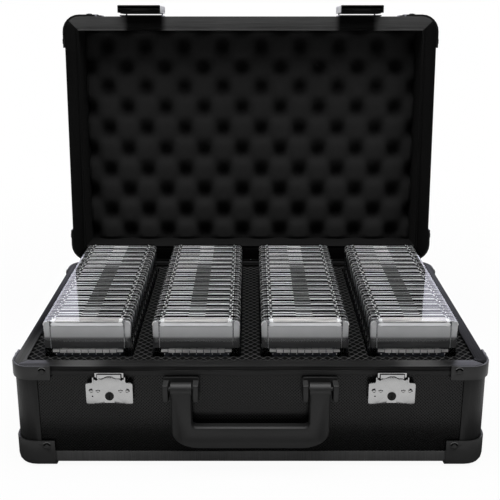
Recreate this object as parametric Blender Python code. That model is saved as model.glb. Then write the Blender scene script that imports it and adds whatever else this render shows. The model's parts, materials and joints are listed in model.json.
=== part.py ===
"""Storage case for graded cards: an aluminium-framed base and lid on rear hinges,
a foam-lined inside with four rows of clear card slabs, two lever latches, two lock
strikes with key cylinders and a swinging carrying handle.

Units are metres and +Z is up. The case stands on its four bottom corner caps with the
front towards -Y, and the lid stands open, leaning back on its hinges.
"""

import math

import bmesh
import bpy
from mathutils import Matrix, Vector

# Whole case
case_width = 0.445
case_length = 0.298
base_depth = 0.0994
lid_depth = 0.068
corner_radius = 0.018
lid_gap = 0.0003
open_angle = math.radians(94)
seat_gap = 0.0003
overrun = 0.002

# Aluminium frame
skin = 0.0012
base_rim_width = 0.0128
base_side_rim_width = 0.0112
lid_rim_width = 0.0166
rim_band = 0.0095
rim_top = 0.0012
groove_top = 0.001
groove_low = 0.0049
groove_depth = 0.0007
lip_groove_width = 0.001
lip_groove_depth = 0.0006
lip_groove_inset = 0.0022
rail_band = 0.0106
rail_flange = 0.0125
post_leg = 0.024
mitre_gap = 0.0003
arc_steps = 6

# Wall panels
panel_thickness = 0.003
floor_thickness = 0.003

# Corner caps, rim corners and rivets
cap_wall = 0.002
cap_leg = 0.0368
cap_bottom = 0.005
cap_flange = 0.014
cap_edge_radius = 0.008
cap_height = 0.0275
cap_edge_steps = 4
rim_corner_height = 0.0135
rivet_radius = 0.0024
rivet_height = 0.0011
rivet_crown_share = 0.5
rivet_sides = 12
rivet_from_corner = 0.0295
rim_rivet_depth = 0.0045
cap_rivet_height = 0.0229

# Card slabs and the base foam
slab_width = 0.0836
slab_height = 0.1275
slab_thickness = 0.0137
slab_pitch = 0.014
slab_split = 0.040
row_front = 0.0277
row_rear = 0.0204
row_side = 0.0205
row_web_least = 0.015
row_spare_least = 0.008
slab_side_clearance = 0.0007
slab_front_clearance = 0.0006
foam_below_rim = 0.0028

# Lid foam
lid_foam_recess = 0.038
dimple_depth = 0.0125
dimple_pitch_x = 0.0468
dimple_pitch_y = 0.0533
dimple_at_x = 0.0121
dimple_at_y = -0.0395
foam_columns = 44
foam_rows = 24

# Rear hinges
hinge_offset = 0.0026
hinge_from_cap = 0.0015
hinge_middle_gap = 0.0004
hinge_knuckles = 9
knuckle_radius = 0.0022
knuckle_gap = 0.0004
hinge_bore = 0.0013
hinge_pin_radius = 0.001
leaf_thickness = 0.0012
leaf_height = 0.024

# Lock strikes on the base
latch_place_share = 0.4763
strike_width = 0.0434
strike_top = 0.0158
strike_bottom = 0.0364
strike_stand = 0.0055
strike_corner = 0.0022
strike_edge = 0.0008
arch_half_width = 0.0125
arch_top = 0.0103
arch_stand = 0.0042
ear_half_width = 0.0152
ear_thickness = 0.0011
ear_top = 0.0089
ear_stand = 0.006
loop_half_width = 0.0137
loop_top = 0.0064
loop_thickness = 0.001
loop_reach = 0.0054
notch_width = 0.020
notch_height = 0.0011
key_depth = 0.0281
key_radius = 0.0037
key_bore = 0.0041
key_length = 0.004
key_proud = 0.0004
key_slot_width = 0.0009
key_slot_length = 0.0048
key_slot_depth = 0.0015

# Lever latches on the lid
lever_width = 0.050
lever_reach = 0.016
lever_length = 0.0595
lever_inner = 0.004
lever_outer = 0.0126
lever_wall = 0.0012
lever_edge = 0.0006
claw_stand = 0.0078
claw_thickness = 0.001
claw_from_pivot = 0.020
claw_short_of_end = 0.002
claw_lip = 0.0012
claw_lip_half_width = 0.010
mount_plate_length = 0.042
mount_plate_thickness = 0.0013
mount_plate_margin = 0.001
pivot_stand = 0.0065
pivot_from_end = 0.0035
pivot_pin_radius = 0.0012
pivot_bore = 0.0015
pivot_ear_thickness = 0.0012
pivot_ear_gap = 0.0011
pivot_ear_half_length = 0.0029
pivot_ear_over = 0.0022

# Carrying handle and its brackets
handle_width = 0.1472
handle_arm = 0.0191
handle_thickness = 0.012
handle_pivot_depth = 0.0195
handle_stand = 0.008
handle_bottom = 0.0785
grip_height = 0.022
handle_corner_reach = 0.0254
handle_corner_rise = 0.017
handle_corner_steps = 6
handle_inner_radius = 0.004
handle_edge = 0.003
hub_radius = 0.0065
hub_sides = 20
handle_bore = 0.0023
handle_pin_radius = 0.002
bracket_inner_gap = 0.0011
bracket_outer_gap = 0.0024
bracket_ear = 0.0053
bracket_ear_top = 0.0142
bracket_ear_bottom = 0.0312
bracket_ear_stand = 0.0125
bracket_plate_top = 0.011
bracket_plate_bottom = 0.034
bracket_plate_front = 0.0009
bracket_edge = 0.0012
pin_sides = 16

# Worked out from the sizes above
half_width = case_width / 2
half_length = case_length / 2
base_height = base_depth + seat_gap + cap_bottom
panel_outer = skin + seat_gap
panel_inner = panel_outer + panel_thickness
lining_outer = panel_inner + seat_gap
base_floor_top = base_depth - skin - seat_gap - floor_thickness
lid_floor_top = lid_depth - skin - seat_gap - floor_thickness
slab_bottom = base_floor_top - seat_gap
cap_proud = cap_wall + seat_gap
hinge_rise = lid_gap / 2
hinge_outer_end = half_width - cap_leg - hinge_from_cap
hinge_width = hinge_outer_end - hinge_middle_gap / 2
hinge_at_x = (hinge_outer_end + hinge_middle_gap / 2) / 2
bracket_end = handle_width / 2 + bracket_outer_gap + bracket_ear
latch_at_x = bracket_end + (half_width - cap_leg - bracket_end) * latch_place_share

# As many rows and slabs as fit, spread over the room for them
row_room = 2 * (half_width - lining_outer - row_side)
row_count = math.floor((row_room + row_web_least) / (slab_width + row_web_least))
row_pitch = (row_room - slab_width) / max(row_count - 1, 1)
slab_room = case_length - row_front - row_rear - row_spare_least
slab_count = math.floor((slab_room + slab_pitch - slab_thickness) / slab_pitch)

parts = None
cutters = None


def clear_scene():
    """Start from an empty scene."""
    for thing in list(bpy.data.objects):
        bpy.data.objects.remove(thing, do_unlink=True)


def new_collection(name):
    """A collection under the scene."""
    made = bpy.data.collections.new(name)
    bpy.context.scene.collection.children.link(made)
    return made


def new_material(name, colour, metallic, roughness, alpha=1.0):
    """A plain Principled material."""
    made = bpy.data.materials.new(name)
    made.use_nodes = True
    made.diffuse_color = (*colour, alpha)
    shader = made.node_tree.nodes["Principled BSDF"]
    shader.inputs["Base Color"].default_value = (*colour, 1.0)
    shader.inputs["Metallic"].default_value = metallic
    shader.inputs["Roughness"].default_value = roughness
    shader.inputs["Alpha"].default_value = alpha
    return made


def new_empty(name, location, parent=None, rotation=(0, 0, 0)):
    """A frame that pieces hang on."""
    made = bpy.data.objects.new(name, None)
    made.location = location
    made.rotation_euler = rotation
    made.parent = parent
    bpy.context.scene.collection.objects.link(made)
    return made


def new_part(name, bm, material, parent, location=(0, 0, 0), rotation=(0, 0, 0), smooth=False):
    """One named sub-part from a bmesh, which is freed."""
    bmesh.ops.recalc_face_normals(bm, faces=bm.faces)
    mesh = bpy.data.meshes.new(name)
    bm.to_mesh(mesh)
    bm.free()
    mesh.materials.append(material)
    made = bpy.data.objects.new(name, mesh)
    made.location = location
    made.rotation_euler = rotation
    made.parent = parent
    parts.objects.link(made)
    if smooth:
        mesh.shade_smooth()
        mesh.set_sharp_from_angle(angle=math.radians(35))
    return made


def new_cutter(name, bm, parent, location=(0, 0, 0)):
    """A hidden body that a Boolean uses."""
    bmesh.ops.recalc_face_normals(bm, faces=bm.faces)
    mesh = bpy.data.meshes.new(name)
    bm.to_mesh(mesh)
    bm.free()
    made = bpy.data.objects.new(name, mesh)
    made.location = location
    made.parent = parent
    made.hide_render = True
    made.display_type = "WIRE"
    cutters.objects.link(made)
    return made


def boolean(target, tool, operation):
    """Join or cut the target with the tool."""
    made = target.modifiers.new(f"{operation.lower()} {tool.name}", "BOOLEAN")
    made.operation = operation
    made.solver = "EXACT"
    made.object = tool


def add_box(bm, low, high):
    """A box between two corners, and its vertices."""
    size = [high[i] - low[i] for i in range(3)]
    centre = [(high[i] + low[i]) / 2 for i in range(3)]
    place = Matrix.Translation(centre) @ Matrix.Diagonal((*size, 1))
    return bmesh.ops.create_cube(bm, size=1, matrix=place)["verts"]


def add_rod(bm, radius, start, end, sides, axis="X", top_radius=None):
    """A rod or cone along one axis, from its start to its end."""
    turns = {
        "X": Matrix.Rotation(math.pi / 2, 4, "Y"),
        "Y": Matrix.Rotation(-math.pi / 2, 4, "X"),
        "Z": Matrix.Identity(4),
    }
    length = math.dist(start, end)
    centre = [(start[i] + end[i]) / 2 for i in range(3)]
    bmesh.ops.create_cone(
        bm,
        cap_ends=True,
        segments=sides,
        radius1=radius,
        radius2=radius if top_radius is None else top_radius,
        depth=length,
        matrix=Matrix.Translation(centre) @ turns[axis],
    )


def round_edges(bm, edges, width, segments=1):
    """Bevel the given edges."""
    bmesh.ops.bevel(
        bm, geom=edges, offset=width, segments=segments, profile=0.5, affect="EDGES", material=-1
    )


def edges_along(bm, axis):
    """The edges that run along one axis."""
    found = []
    for edge in bm.edges:
        line = (edge.verts[1].co - edge.verts[0].co).normalized()
        if abs(line[axis]) > 1 - 1e-4:
            found.append(edge)
    return found


def outline_bmesh(loops, half_thickness):
    """A flat outline with any holes, as a 2D curve made a closed mesh, thick along Z."""
    curve = bpy.data.curves.new("outline", "CURVE")
    curve.dimensions = "2D"
    curve.fill_mode = "BOTH"
    curve.extrude = half_thickness
    for points in loops:
        spline = curve.splines.new("POLY")
        spline.points.add(len(points) - 1)
        for place, point in zip(spline.points, points):
            place.co = (point[0], point[1], 0, 1)
        spline.use_cyclic_u = True
    holder = bpy.data.objects.new("outline", curve)
    bpy.context.scene.collection.objects.link(holder)
    bpy.context.view_layer.update()
    found = holder.evaluated_get(bpy.context.evaluated_depsgraph_get())
    mesh = bpy.data.meshes.new_from_object(found)
    bm = bmesh.new()
    bm.from_mesh(mesh)
    bmesh.ops.remove_doubles(bm, verts=bm.verts, dist=weld_distance)
    bpy.data.objects.remove(holder, do_unlink=True)
    bpy.data.meshes.remove(mesh)
    bpy.data.curves.remove(curve)
    return bm


def arc_points(centre, radius, start, end, steps):
    """Points on an arc, both ends included."""
    found = []
    for step in range(steps + 1):
        angle = start + (end - start) * step / steps
        found.append((centre[0] + radius * math.cos(angle), centre[1] + radius * math.sin(angle)))
    return found


def rounded_rectangle(half_x, half_y, radius, steps):
    """The outline of a rectangle with round corners, counter-clockwise."""
    found = []
    for quarter, (sx, sy) in enumerate(((1, 1), (-1, 1), (-1, -1), (1, -1))):
        centre = (sx * (half_x - radius), sy * (half_y - radius))
        start = quarter * math.pi / 2
        found += arc_points(centre, radius, start, start + math.pi / 2, steps)
    return found


def rectangle(low_x, low_y, high_x, high_y):
    """The four corners of a rectangle."""
    return [(low_x, low_y), (high_x, low_y), (high_x, high_y), (low_x, high_y)]


weld_distance = skin / 100


def sweep(bm, stations, profile_at, closed=False):
    """Loft a section along stations. A station is a point on the case's outline and the
    direction to the inside; a section is a list of (inwards, up) places."""
    rings = []
    for number, (x, y, inward_x, inward_y) in enumerate(stations):
        ring = []
        for inwards, up in profile_at(number):
            ring.append(bm.verts.new((x + inward_x * inwards, y + inward_y * inwards, up)))
        rings.append(ring)
    if closed:
        rings.append(rings[0])
    else:
        bm.faces.new(rings[0])
        bm.faces.new(list(reversed(rings[-1])))
    for ring, following in zip(rings, rings[1:]):
        for index, vertex in enumerate(ring):
            near = (index + 1) % len(ring)
            bm.faces.new((vertex, ring[near], following[near], following[index]))


def corner_stations(sx, sy, leg):
    """Stations round one rounded corner of the case, with a straight leg on each side."""
    centre = (sx * (half_width - corner_radius), sy * (half_length - corner_radius))
    found = [(sx * half_width, sy * (half_length - leg), -sx, 0)]
    for step in range(arc_steps + 1):
        angle = math.pi / 2 * step / arc_steps
        out_x = sx * math.cos(angle)
        out_y = sy * math.sin(angle)
        place = (centre[0] + corner_radius * out_x, centre[1] + corner_radius * out_y)
        found.append((*place, -out_x, -out_y))
    found.append((sx * (half_width - leg), sy * half_length, 0, -sy))
    return found


def side_stations(side):
    """Stations along one side of the case, from mid-corner to mid-corner, as a mitred rail runs."""
    wide = side in ("front", "rear")
    along = half_width if wide else half_length
    across = half_length if wide else half_width
    half_steps = arc_steps // 2
    spare = math.asin(mitre_gap / 2 / corner_radius)
    ends = []
    for step in range(half_steps + 1):
        angle = math.pi / 4 + spare + (math.pi / 4 - spare) * step / half_steps
        place_x = along - corner_radius + corner_radius * math.cos(angle)
        place_y = across - corner_radius + corner_radius * math.sin(angle)
        ends.append((place_x, place_y, -math.cos(angle), -math.sin(angle)))
    run = ends + [(-x, y, -nx, ny) for x, y, nx, ny in reversed(ends)]
    turn = {"rear": 0, "left": math.pi / 2, "front": math.pi, "right": -math.pi / 2}[side]
    cos, sin = math.cos(turn), math.sin(turn)
    found = []
    for x, y, nx, ny in run:
        found.append((x * cos - y * sin, x * sin + y * cos, nx * cos - ny * sin, nx * sin + ny * cos))
    return found


def straight_share(number):
    """How far a station of a side has turned into the side: 0 at the mitre, 1 on the straight."""
    half_steps = arc_steps // 2
    step = min(number, 2 * half_steps + 1 - number)
    return min(step, half_steps) / half_steps


def rim_profile(width, lid):
    """The section of a rim rail: a flat top, and a skirt with a groove along it."""
    points = [
        (width, 0),
        (0, 0),
        (0, -groove_top),
        (groove_depth, -groove_top - groove_depth),
        (groove_depth, -groove_low + groove_depth),
        (0, -groove_low),
        (0, -rim_band),
        (skin, -rim_band),
        (skin, -rim_top),
        (width, -rim_top),
    ]
    if lid:
        inner = width - lip_groove_inset
        groove = [
            (inner, 0),
            (inner, -lip_groove_depth),
            (inner - lip_groove_width, -lip_groove_depth),
            (inner - lip_groove_width, 0),
        ]
        points = points[:1] + groove + points[1:]
    return points


def rail_profile(depth, tall):
    """The angle section of the rail at the far edge of a tray. At a corner it is tall."""
    top = -rim_band - seat_gap if tall else -depth + rail_band
    return [
        (0, -depth),
        (0, top),
        (skin, top),
        (skin, -depth + skin),
        (rail_flange, -depth + skin),
        (rail_flange, -depth),
    ]


def cap_profile(depth, height):
    """The section of a corner cap: a wall with a rounded foot and a flange underneath."""
    low = -depth - seat_gap - cap_bottom
    points = [(-seat_gap, low + height), (-cap_proud, low + height)]
    centre = (-cap_proud + cap_edge_radius, low + cap_edge_radius)
    points += arc_points(centre, cap_edge_radius, math.pi, 1.5 * math.pi, cap_edge_steps)
    points += [(cap_flange, low), (cap_flange, low + cap_bottom), (-seat_gap, low + cap_bottom)]
    return points


def add_rivet(bm, x, y, z, out_x, out_y):
    """A domed rivet head on an upright face, with its shank sunk in the plate."""
    axis = "X" if out_x else "Y"
    sunk = seat_gap + cap_wall / 2
    heights = (sunk, cap_proud + rivet_height * rivet_crown_share, cap_proud + rivet_height)
    places = [(x + out_x * h, y + out_y * h, z) for h in heights]
    crown = rivet_radius * rivet_crown_share
    points = [(rivet_radius, places[0]), (rivet_radius, places[1]), (crown, places[2])]
    if out_x + out_y < 0:
        points.reverse()
    rings = []
    for radius, place in points:
        ring = []
        for number in range(rivet_sides):
            angle = 2 * math.pi * number / rivet_sides
            across = radius * math.cos(angle)
            up = radius * math.sin(angle)
            if axis == "X":
                ring.append(bm.verts.new((place[0], place[1] + across, place[2] + up)))
            else:
                ring.append(bm.verts.new((place[0] + across, place[1], place[2] + up)))
        rings.append(ring)
    bm.faces.new(rings[0])
    bm.faces.new(list(reversed(rings[-1])))
    for ring, following in zip(rings, rings[1:]):
        for index, vertex in enumerate(ring):
            near = (index + 1) % rivet_sides
            bm.faces.new((vertex, ring[near], following[near], following[index]))


corners = {"rear_right": (1, 1), "rear_left": (-1, 1), "front_left": (-1, -1), "front_right": (1, -1)}


def side_name(prefix, side):
    """The name of a side: the lid's frame is turned over, which swaps front and rear."""
    if prefix == "lid":
        return {"front": "rear", "rear": "front"}.get(side, side)
    return side


def build_panels(prefix, frame, floor_top, material):
    """Four wall panels behind the frame's skins, and the floor or top panel."""
    top = -rim_top - seat_gap
    low = -floor_top + seat_gap
    reach_x = half_width - corner_radius
    reach_y = half_length - corner_radius
    for side, sign in (("front", -1), ("rear", 1)):
        bm = bmesh.new()
        faces = sorted((sign * (half_length - panel_outer), sign * (half_length - panel_inner)))
        add_box(bm, (-reach_x, faces[0], low), (reach_x, faces[1], top))
        new_part(f"{prefix}_{side_name(prefix, side)}_panel", bm, material, frame)
    for side, sign in (("left", -1), ("right", 1)):
        bm = bmesh.new()
        faces = sorted((sign * (half_width - panel_outer), sign * (half_width - panel_inner)))
        add_box(bm, (faces[0], -reach_y, low), (faces[1], reach_y, top))
        new_part(f"{prefix}_{side}_panel", bm, material, frame)
    outline = rounded_rectangle(
        half_width - panel_outer, half_length - panel_outer, corner_radius - panel_outer, arc_steps
    )
    bm = outline_bmesh([outline], floor_thickness / 2)
    name = "base_floor_panel" if prefix == "base" else "lid_top_panel"
    new_part(name, bm, material, frame, (0, 0, -floor_top - floor_thickness / 2))


def build_frame(prefix, frame, depth, rim_widths, material):
    """The aluminium frame: mitred rim rails, and one lower frame of rails and corner posts."""
    mitre_width = sum(rim_widths.values()) / len(rim_widths)
    for side in ("front", "rear", "left", "right"):

        def rim_at(number, width=rim_widths[side]):
            share = straight_share(number)
            return rim_profile(mitre_width + (width - mitre_width) * share, prefix == "lid")

        bm = bmesh.new()
        sweep(bm, side_stations(side), rim_at)
        new_part(f"{prefix}_{side_name(prefix, side)}_rim", bm, material, frame)
    stations = []
    tall = []
    for sx, sy in corners.values():
        outer = corner_stations(sx, sy, post_leg)
        inner = corner_stations(sx, sy, post_leg - seat_gap)
        run = [outer[0]] + inner + [outer[-1]]
        if sx * sy < 0:
            run.reverse()
        stations += run
        tall += [False] + [True] * len(inner) + [False]
    bm = bmesh.new()
    sweep(bm, stations, lambda number: rail_profile(depth, tall[number]), closed=True)
    name = "base_lower_frame" if prefix == "base" else "lid_upper_frame"
    new_part(name, bm, material, frame)


def build_corners(prefix, frame, depth, material):
    """Riveted caps at the far corners and riveted plates at the rim's corners."""

    def cap_at(number):
        return cap_profile(depth, cap_height)

    def plate_at(number):
        low = -rim_corner_height
        return [(-seat_gap, 0), (-cap_proud, 0), (-cap_proud, low), (-seat_gap, low)]

    low = -depth - seat_gap - cap_bottom + cap_rivet_height
    for name, (sx, sy) in corners.items():
        end = name.split("_")
        label = f"{prefix}_{side_name(prefix, end[0])}_{end[1]}"
        shapes = (("corner_cap", cap_at, low), ("rim_corner", plate_at, -rim_rivet_depth))
        for kind, profile_at, rivet_z in shapes:
            bm = bmesh.new()
            sweep(bm, corner_stations(sx, sy, cap_leg), profile_at)
            plate = new_part(f"{label}_{kind}", bm, material, frame, smooth=True)
            bm = bmesh.new()
            add_rivet(bm, sx * (half_width - rivet_from_corner), sy * half_length, rivet_z, 0, sy)
            add_rivet(bm, sx * half_width, sy * (half_length - rivet_from_corner), rivet_z, sx, 0)
            boolean(plate, new_cutter(f"{label}_{kind}_rivets", bm, frame), "UNION")


def row_centre(number):
    """The middle of a row of slabs across the case, counted from the left."""
    return (number - (row_count - 1) / 2) * row_pitch


def build_base_foam(frame, material):
    """The foam block in the base, cut through by one trough for each row."""
    outline = rounded_rectangle(
        half_width - lining_outer, half_length - lining_outer, corner_radius - lining_outer, arc_steps
    )
    loops = [outline]
    for number in range(row_count):
        half = slab_width / 2 + slab_side_clearance
        centre = row_centre(number)
        front = -half_length + row_front - slab_front_clearance
        loops.append(rectangle(centre - half, front, centre + half, half_length - row_rear))
    height = slab_bottom - foam_below_rim
    bm = outline_bmesh(loops, height / 2)
    new_part("base_foam", bm, material, frame, (0, 0, -foam_below_rim - height / 2))


def build_slabs(frame, material):
    """Each row of slabs, standing on the floor panel in its trough. The slabs of a row part
    from each other in their upper share and are one solid below."""
    outline = []
    for index in range(slab_count):
        front = index * slab_pitch
        back = front + slab_thickness
        split = slab_height - slab_split
        if index:
            outline.append((front, split))
        outline += [(front, slab_height), (back, slab_height)]
        if index < slab_count - 1:
            outline.append((back, split))
    outline += [(back, 0), (0, 0)]
    upright = Matrix.Rotation(math.pi / 2, 3, "Z") @ Matrix.Rotation(math.pi / 2, 3, "X")
    for number in range(row_count):
        bm = outline_bmesh([outline], slab_width / 2)
        bmesh.ops.rotate(bm, verts=bm.verts, matrix=upright)
        place = (row_centre(number), -half_length + row_front, -slab_bottom)
        new_part(f"slab_row_{number + 1}", bm, material, frame, place)


def build_lid_lining(frame, material):
    """The ring of padding between the lid's walls and its foam, flush with the rim."""
    outline = rounded_rectangle(
        half_width - lining_outer, half_length - lining_outer, corner_radius - lining_outer, arc_steps
    )
    inner_x = half_width - lid_rim_width
    inner_y = half_length - lid_rim_width
    opening = rectangle(-inner_x, -inner_y, inner_x, inner_y)
    top = rim_top + seat_gap
    height = lid_floor_top - seat_gap - top
    bm = outline_bmesh([outline, opening], height / 2)
    new_part("lid_lining", bm, material, frame, (0, 0, -top - height / 2))


def build_lid_foam(frame, material):
    """Egg-crate foam in the lid: a dimpled face on a flat back."""
    half_x = half_width - lid_rim_width - seat_gap
    half_y = half_length - lid_rim_width - seat_gap
    back = -lid_floor_top + seat_gap
    bm = bmesh.new()
    bmesh.ops.create_grid(bm, x_segments=foam_columns, y_segments=foam_rows, size=1)
    for vertex in bm.verts:
        x = vertex.co.x * half_x
        y = vertex.co.y * half_y
        across = math.cos(2 * math.pi * (x - dimple_at_x) / dimple_pitch_x)
        along = math.cos(2 * math.pi * (y - dimple_at_y) / dimple_pitch_y)
        sunk = dimple_depth * (1 + across * along) / 2
        vertex.co = (x, y, -lid_foam_recess - sunk)
    border = [edge for edge in bm.edges if edge.is_boundary]
    made = bmesh.ops.extrude_edge_only(bm, edges=border)["geom"]
    for item in made:
        if isinstance(item, bmesh.types.BMVert):
            item.co.z = back
    rim = [edge for edge in bm.edges if edge.is_boundary]
    bmesh.ops.contextual_create(bm, geom=rim)
    new_part("lid_foam", bm, material, frame, smooth=True)


def build_hinge_leaf(name, frame, first, turn, material):
    """One leaf of the rear hinge: a plate, and every second knuckle from the first."""
    wall = -hinge_offset + seat_gap
    plate_top = -knuckle_radius - knuckle_gap
    bm = bmesh.new()
    low = (-hinge_width / 2, wall, -leaf_height)
    add_box(bm, low, (hinge_width / 2, wall + leaf_thickness, plate_top))
    leaf = new_part(name, bm, material, frame, rotation=(0, turn, 0))
    pitch = hinge_width / hinge_knuckles
    for number in range(first, hinge_knuckles, 2):
        start = -hinge_width / 2 + number * pitch + knuckle_gap / 2
        end = start + pitch - knuckle_gap
        strap = bmesh.new()
        add_box(strap, (start, wall, plate_top - leaf_thickness), (end, wall + leaf_thickness, 0))
        boolean(leaf, hinge_tool(f"{name}_strap_{number}", strap, leaf), "UNION")
        barrel = bmesh.new()
        add_rod(barrel, knuckle_radius, (start, 0, 0), (end, 0, 0), pin_sides)
        boolean(leaf, hinge_tool(f"{name}_knuckle_{number}", barrel, leaf), "UNION")
    bore = bmesh.new()
    reach = hinge_width / 2 + overrun
    add_rod(bore, hinge_bore, (-reach, 0, 0), (reach, 0, 0), pin_sides)
    boolean(leaf, hinge_tool(f"{name}_bore", bore, leaf), "DIFFERENCE")


def hinge_tool(name, bm, leaf):
    """A Boolean body that lies with its leaf."""
    return new_cutter(name, bm, leaf)


def build_hinges(base, swing, material, pin_material):
    """One long rear hinge in two lengths: a leaf on the base, a leaf on the lid and a pin each."""
    axis = (half_length + hinge_offset, hinge_rise)
    for side, sign in (("left", -1), ("right", 1)):
        seat = new_empty(f"{side}_hinge_seat", (sign * hinge_at_x, *axis), base)
        build_hinge_leaf(f"{side}_hinge_base_leaf", seat, 0, 0, material)
        bm = bmesh.new()
        half = hinge_width / 2
        add_rod(bm, hinge_pin_radius, (-half, 0, 0), (half, 0, 0), pin_sides)
        new_part(f"{side}_hinge_pin", bm, pin_material, seat, smooth=True)
        moving = new_empty(f"{side}_hinge_swing", (sign * hinge_at_x, 0, 0), swing)
        build_hinge_leaf(f"{side}_hinge_lid_leaf", moving, 1, math.pi, material)


def build_strike(side, sign, frame, material, key_material):
    """A lock strike on the front: a pressed plate, an arch, two ears and the hook loop."""
    place = (sign * latch_at_x, -half_length, 0)
    half = strike_width / 2
    back = panel_outer - seat_gap
    bm = bmesh.new()
    add_box(bm, (-half, -strike_stand, -strike_bottom), (half, back, -strike_top))
    round_edges(bm, edges_along(bm, 1), strike_corner, 2)
    front = [edge for edge in bm.edges if all(v.co.y < back - skin for v in edge.verts)]
    round_edges(bm, front, strike_edge)
    name = f"{side}_lock_strike"
    strike = new_part(name, bm, material, frame, place, smooth=True)
    arch = [(-arch_half_width, -strike_top - overrun), (arch_half_width, -strike_top - overrun)]
    rise = strike_top - arch_top
    for step in range(1, 8):
        angle = math.pi * step / 8
        arch.append((arch_half_width * math.cos(angle), -strike_top + rise * math.sin(angle)))
    bm = outline_bmesh([arch], (arch_stand - seat_gap) / 2)
    bmesh.ops.rotate(bm, verts=bm.verts, matrix=Matrix.Rotation(math.pi / 2, 3, "X"))
    bmesh.ops.translate(bm, verts=bm.verts, vec=(0, -(arch_stand + seat_gap) / 2, 0))
    boolean(strike, new_cutter(f"{name}_arch", bm, strike), "UNION")
    for end in (-1, 1):
        sides = sorted((end * ear_half_width, end * (ear_half_width - ear_thickness)))
        bm = bmesh.new()
        low = (sides[0], -ear_stand, -strike_top - overrun)
        add_box(bm, low, (sides[1], -seat_gap, -ear_top))
        boolean(strike, new_cutter(f"{name}_ear_{end}", bm, strike), "UNION")
    bm = bmesh.new()
    low = (-loop_half_width, -loop_thickness - seat_gap, -strike_top - overrun)
    add_box(bm, low, (loop_half_width, -seat_gap, -loop_top))
    boolean(strike, new_cutter(f"{name}_loop", bm, strike), "UNION")
    bm = bmesh.new()
    low = (-loop_half_width, -loop_reach, -loop_top - loop_thickness)
    add_box(bm, low, (loop_half_width, -seat_gap, -loop_top))
    boolean(strike, new_cutter(f"{name}_hook", bm, strike), "UNION")
    bm = bmesh.new()
    low = (-notch_width / 2, -strike_stand - overrun, -strike_bottom - overrun)
    add_box(bm, low, (notch_width / 2, back + overrun, -strike_bottom + notch_height))
    boolean(strike, new_cutter(f"{name}_notch", bm, strike), "DIFFERENCE")
    bm = bmesh.new()
    floor = -strike_stand + key_length + seat_gap
    add_rod(bm, key_bore, (0, -strike_stand - overrun, -key_depth), (0, floor, -key_depth), pin_sides, "Y")
    boolean(strike, new_cutter(f"{name}_bore", bm, strike), "DIFFERENCE")
    bm = bmesh.new()
    add_rod(bm, key_radius, (0, -key_proud, 0), (0, key_length, 0), pin_sides, "Y")
    spot = (sign * latch_at_x, -half_length - strike_stand, -key_depth)
    key = new_part(f"{side}_key_cylinder", bm, key_material, frame, spot, smooth=True)
    bm = bmesh.new()
    low = (-key_slot_width / 2, -key_proud - overrun, -key_slot_length / 2)
    add_box(bm, low, (key_slot_width / 2, key_slot_depth, key_slot_length / 2))
    boolean(key, new_cutter(f"{side}_key_slot", bm, key), "DIFFERENCE")


def build_lever(side, sign, frame, material, plate_material):
    """A lever latch on the lid: a mounting plate with two ears, a pin and the lever.
    The lid's frame is turned over, so its outer front face looks to +Y and the rim is at 0."""
    far = lever_length - lever_reach
    pivot_depth = far - pivot_from_end
    half = lever_width / 2
    inner_half = half - lever_wall
    ear_outer = inner_half - pivot_ear_gap
    plate_low = -mount_plate_margin - mount_plate_length
    bm = bmesh.new()
    thick = seat_gap + mount_plate_thickness
    add_box(bm, (-half, seat_gap, plate_low), (half, thick, -mount_plate_margin))
    plate = new_part(
        f"{side}_latch_plate", bm, plate_material, frame, (sign * latch_at_x, half_length, 0)
    )
    for end in (-1, 1):
        sides = sorted((end * ear_outer, end * (ear_outer - pivot_ear_thickness)))
        low = (sides[0], seat_gap, -pivot_depth - pivot_ear_half_length)
        high = (sides[1], pivot_stand + pivot_ear_over, -pivot_depth + pivot_ear_half_length)
        bm = bmesh.new()
        add_box(bm, low, high)
        boolean(plate, new_cutter(f"{side}_latch_ear_{end}", bm, plate), "UNION")
    bm = bmesh.new()
    line = (pivot_stand, -pivot_depth)
    add_rod(bm, pivot_pin_radius, (-half, *line), (half, *line), pin_sides)
    boolean(plate, new_cutter(f"{side}_latch_pin", bm, plate), "UNION")
    place = (sign * latch_at_x, half_length + pivot_stand, -pivot_depth)
    top = pivot_depth + lever_reach
    low = -pivot_from_end
    outer = lever_outer - pivot_stand
    inner = lever_inner - pivot_stand
    bm = bmesh.new()
    add_box(bm, (-half, inner, low), (half, outer, top))
    edges = [edge for edge in bm.edges if all(v.co.y > 0 for v in edge.verts)]
    round_edges(bm, edges, lever_edge)
    lever = new_part(f"{side}_latch_lever", bm, material, frame, place, smooth=True)
    bm = bmesh.new()
    hollow_low = (-inner_half, inner - overrun, low - overrun)
    add_box(bm, hollow_low, (inner_half, outer - lever_wall, top + overrun))
    boolean(lever, new_cutter(f"{side}_lever_hollow", bm, lever), "DIFFERENCE")
    claw = claw_stand - pivot_stand
    bm = bmesh.new()
    reach = inner_half + lever_wall / 2
    end = top - claw_short_of_end
    add_box(bm, (-reach, claw, claw_from_pivot), (reach, claw + claw_thickness, end))
    boolean(lever, new_cutter(f"{side}_lever_claw", bm, lever), "UNION")
    bm = bmesh.new()
    low_lip = (-claw_lip_half_width, claw - claw_lip, end - claw_thickness)
    add_box(bm, low_lip, (claw_lip_half_width, claw + claw_thickness / 2, end))
    boolean(lever, new_cutter(f"{side}_lever_lip", bm, lever), "UNION")
    bm = bmesh.new()
    reach = half + overrun
    add_rod(bm, pivot_bore, (-reach, 0, 0), (reach, 0, 0), pin_sides)
    boolean(lever, new_cutter(f"{side}_lever_bore", bm, lever), "DIFFERENCE")


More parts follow.
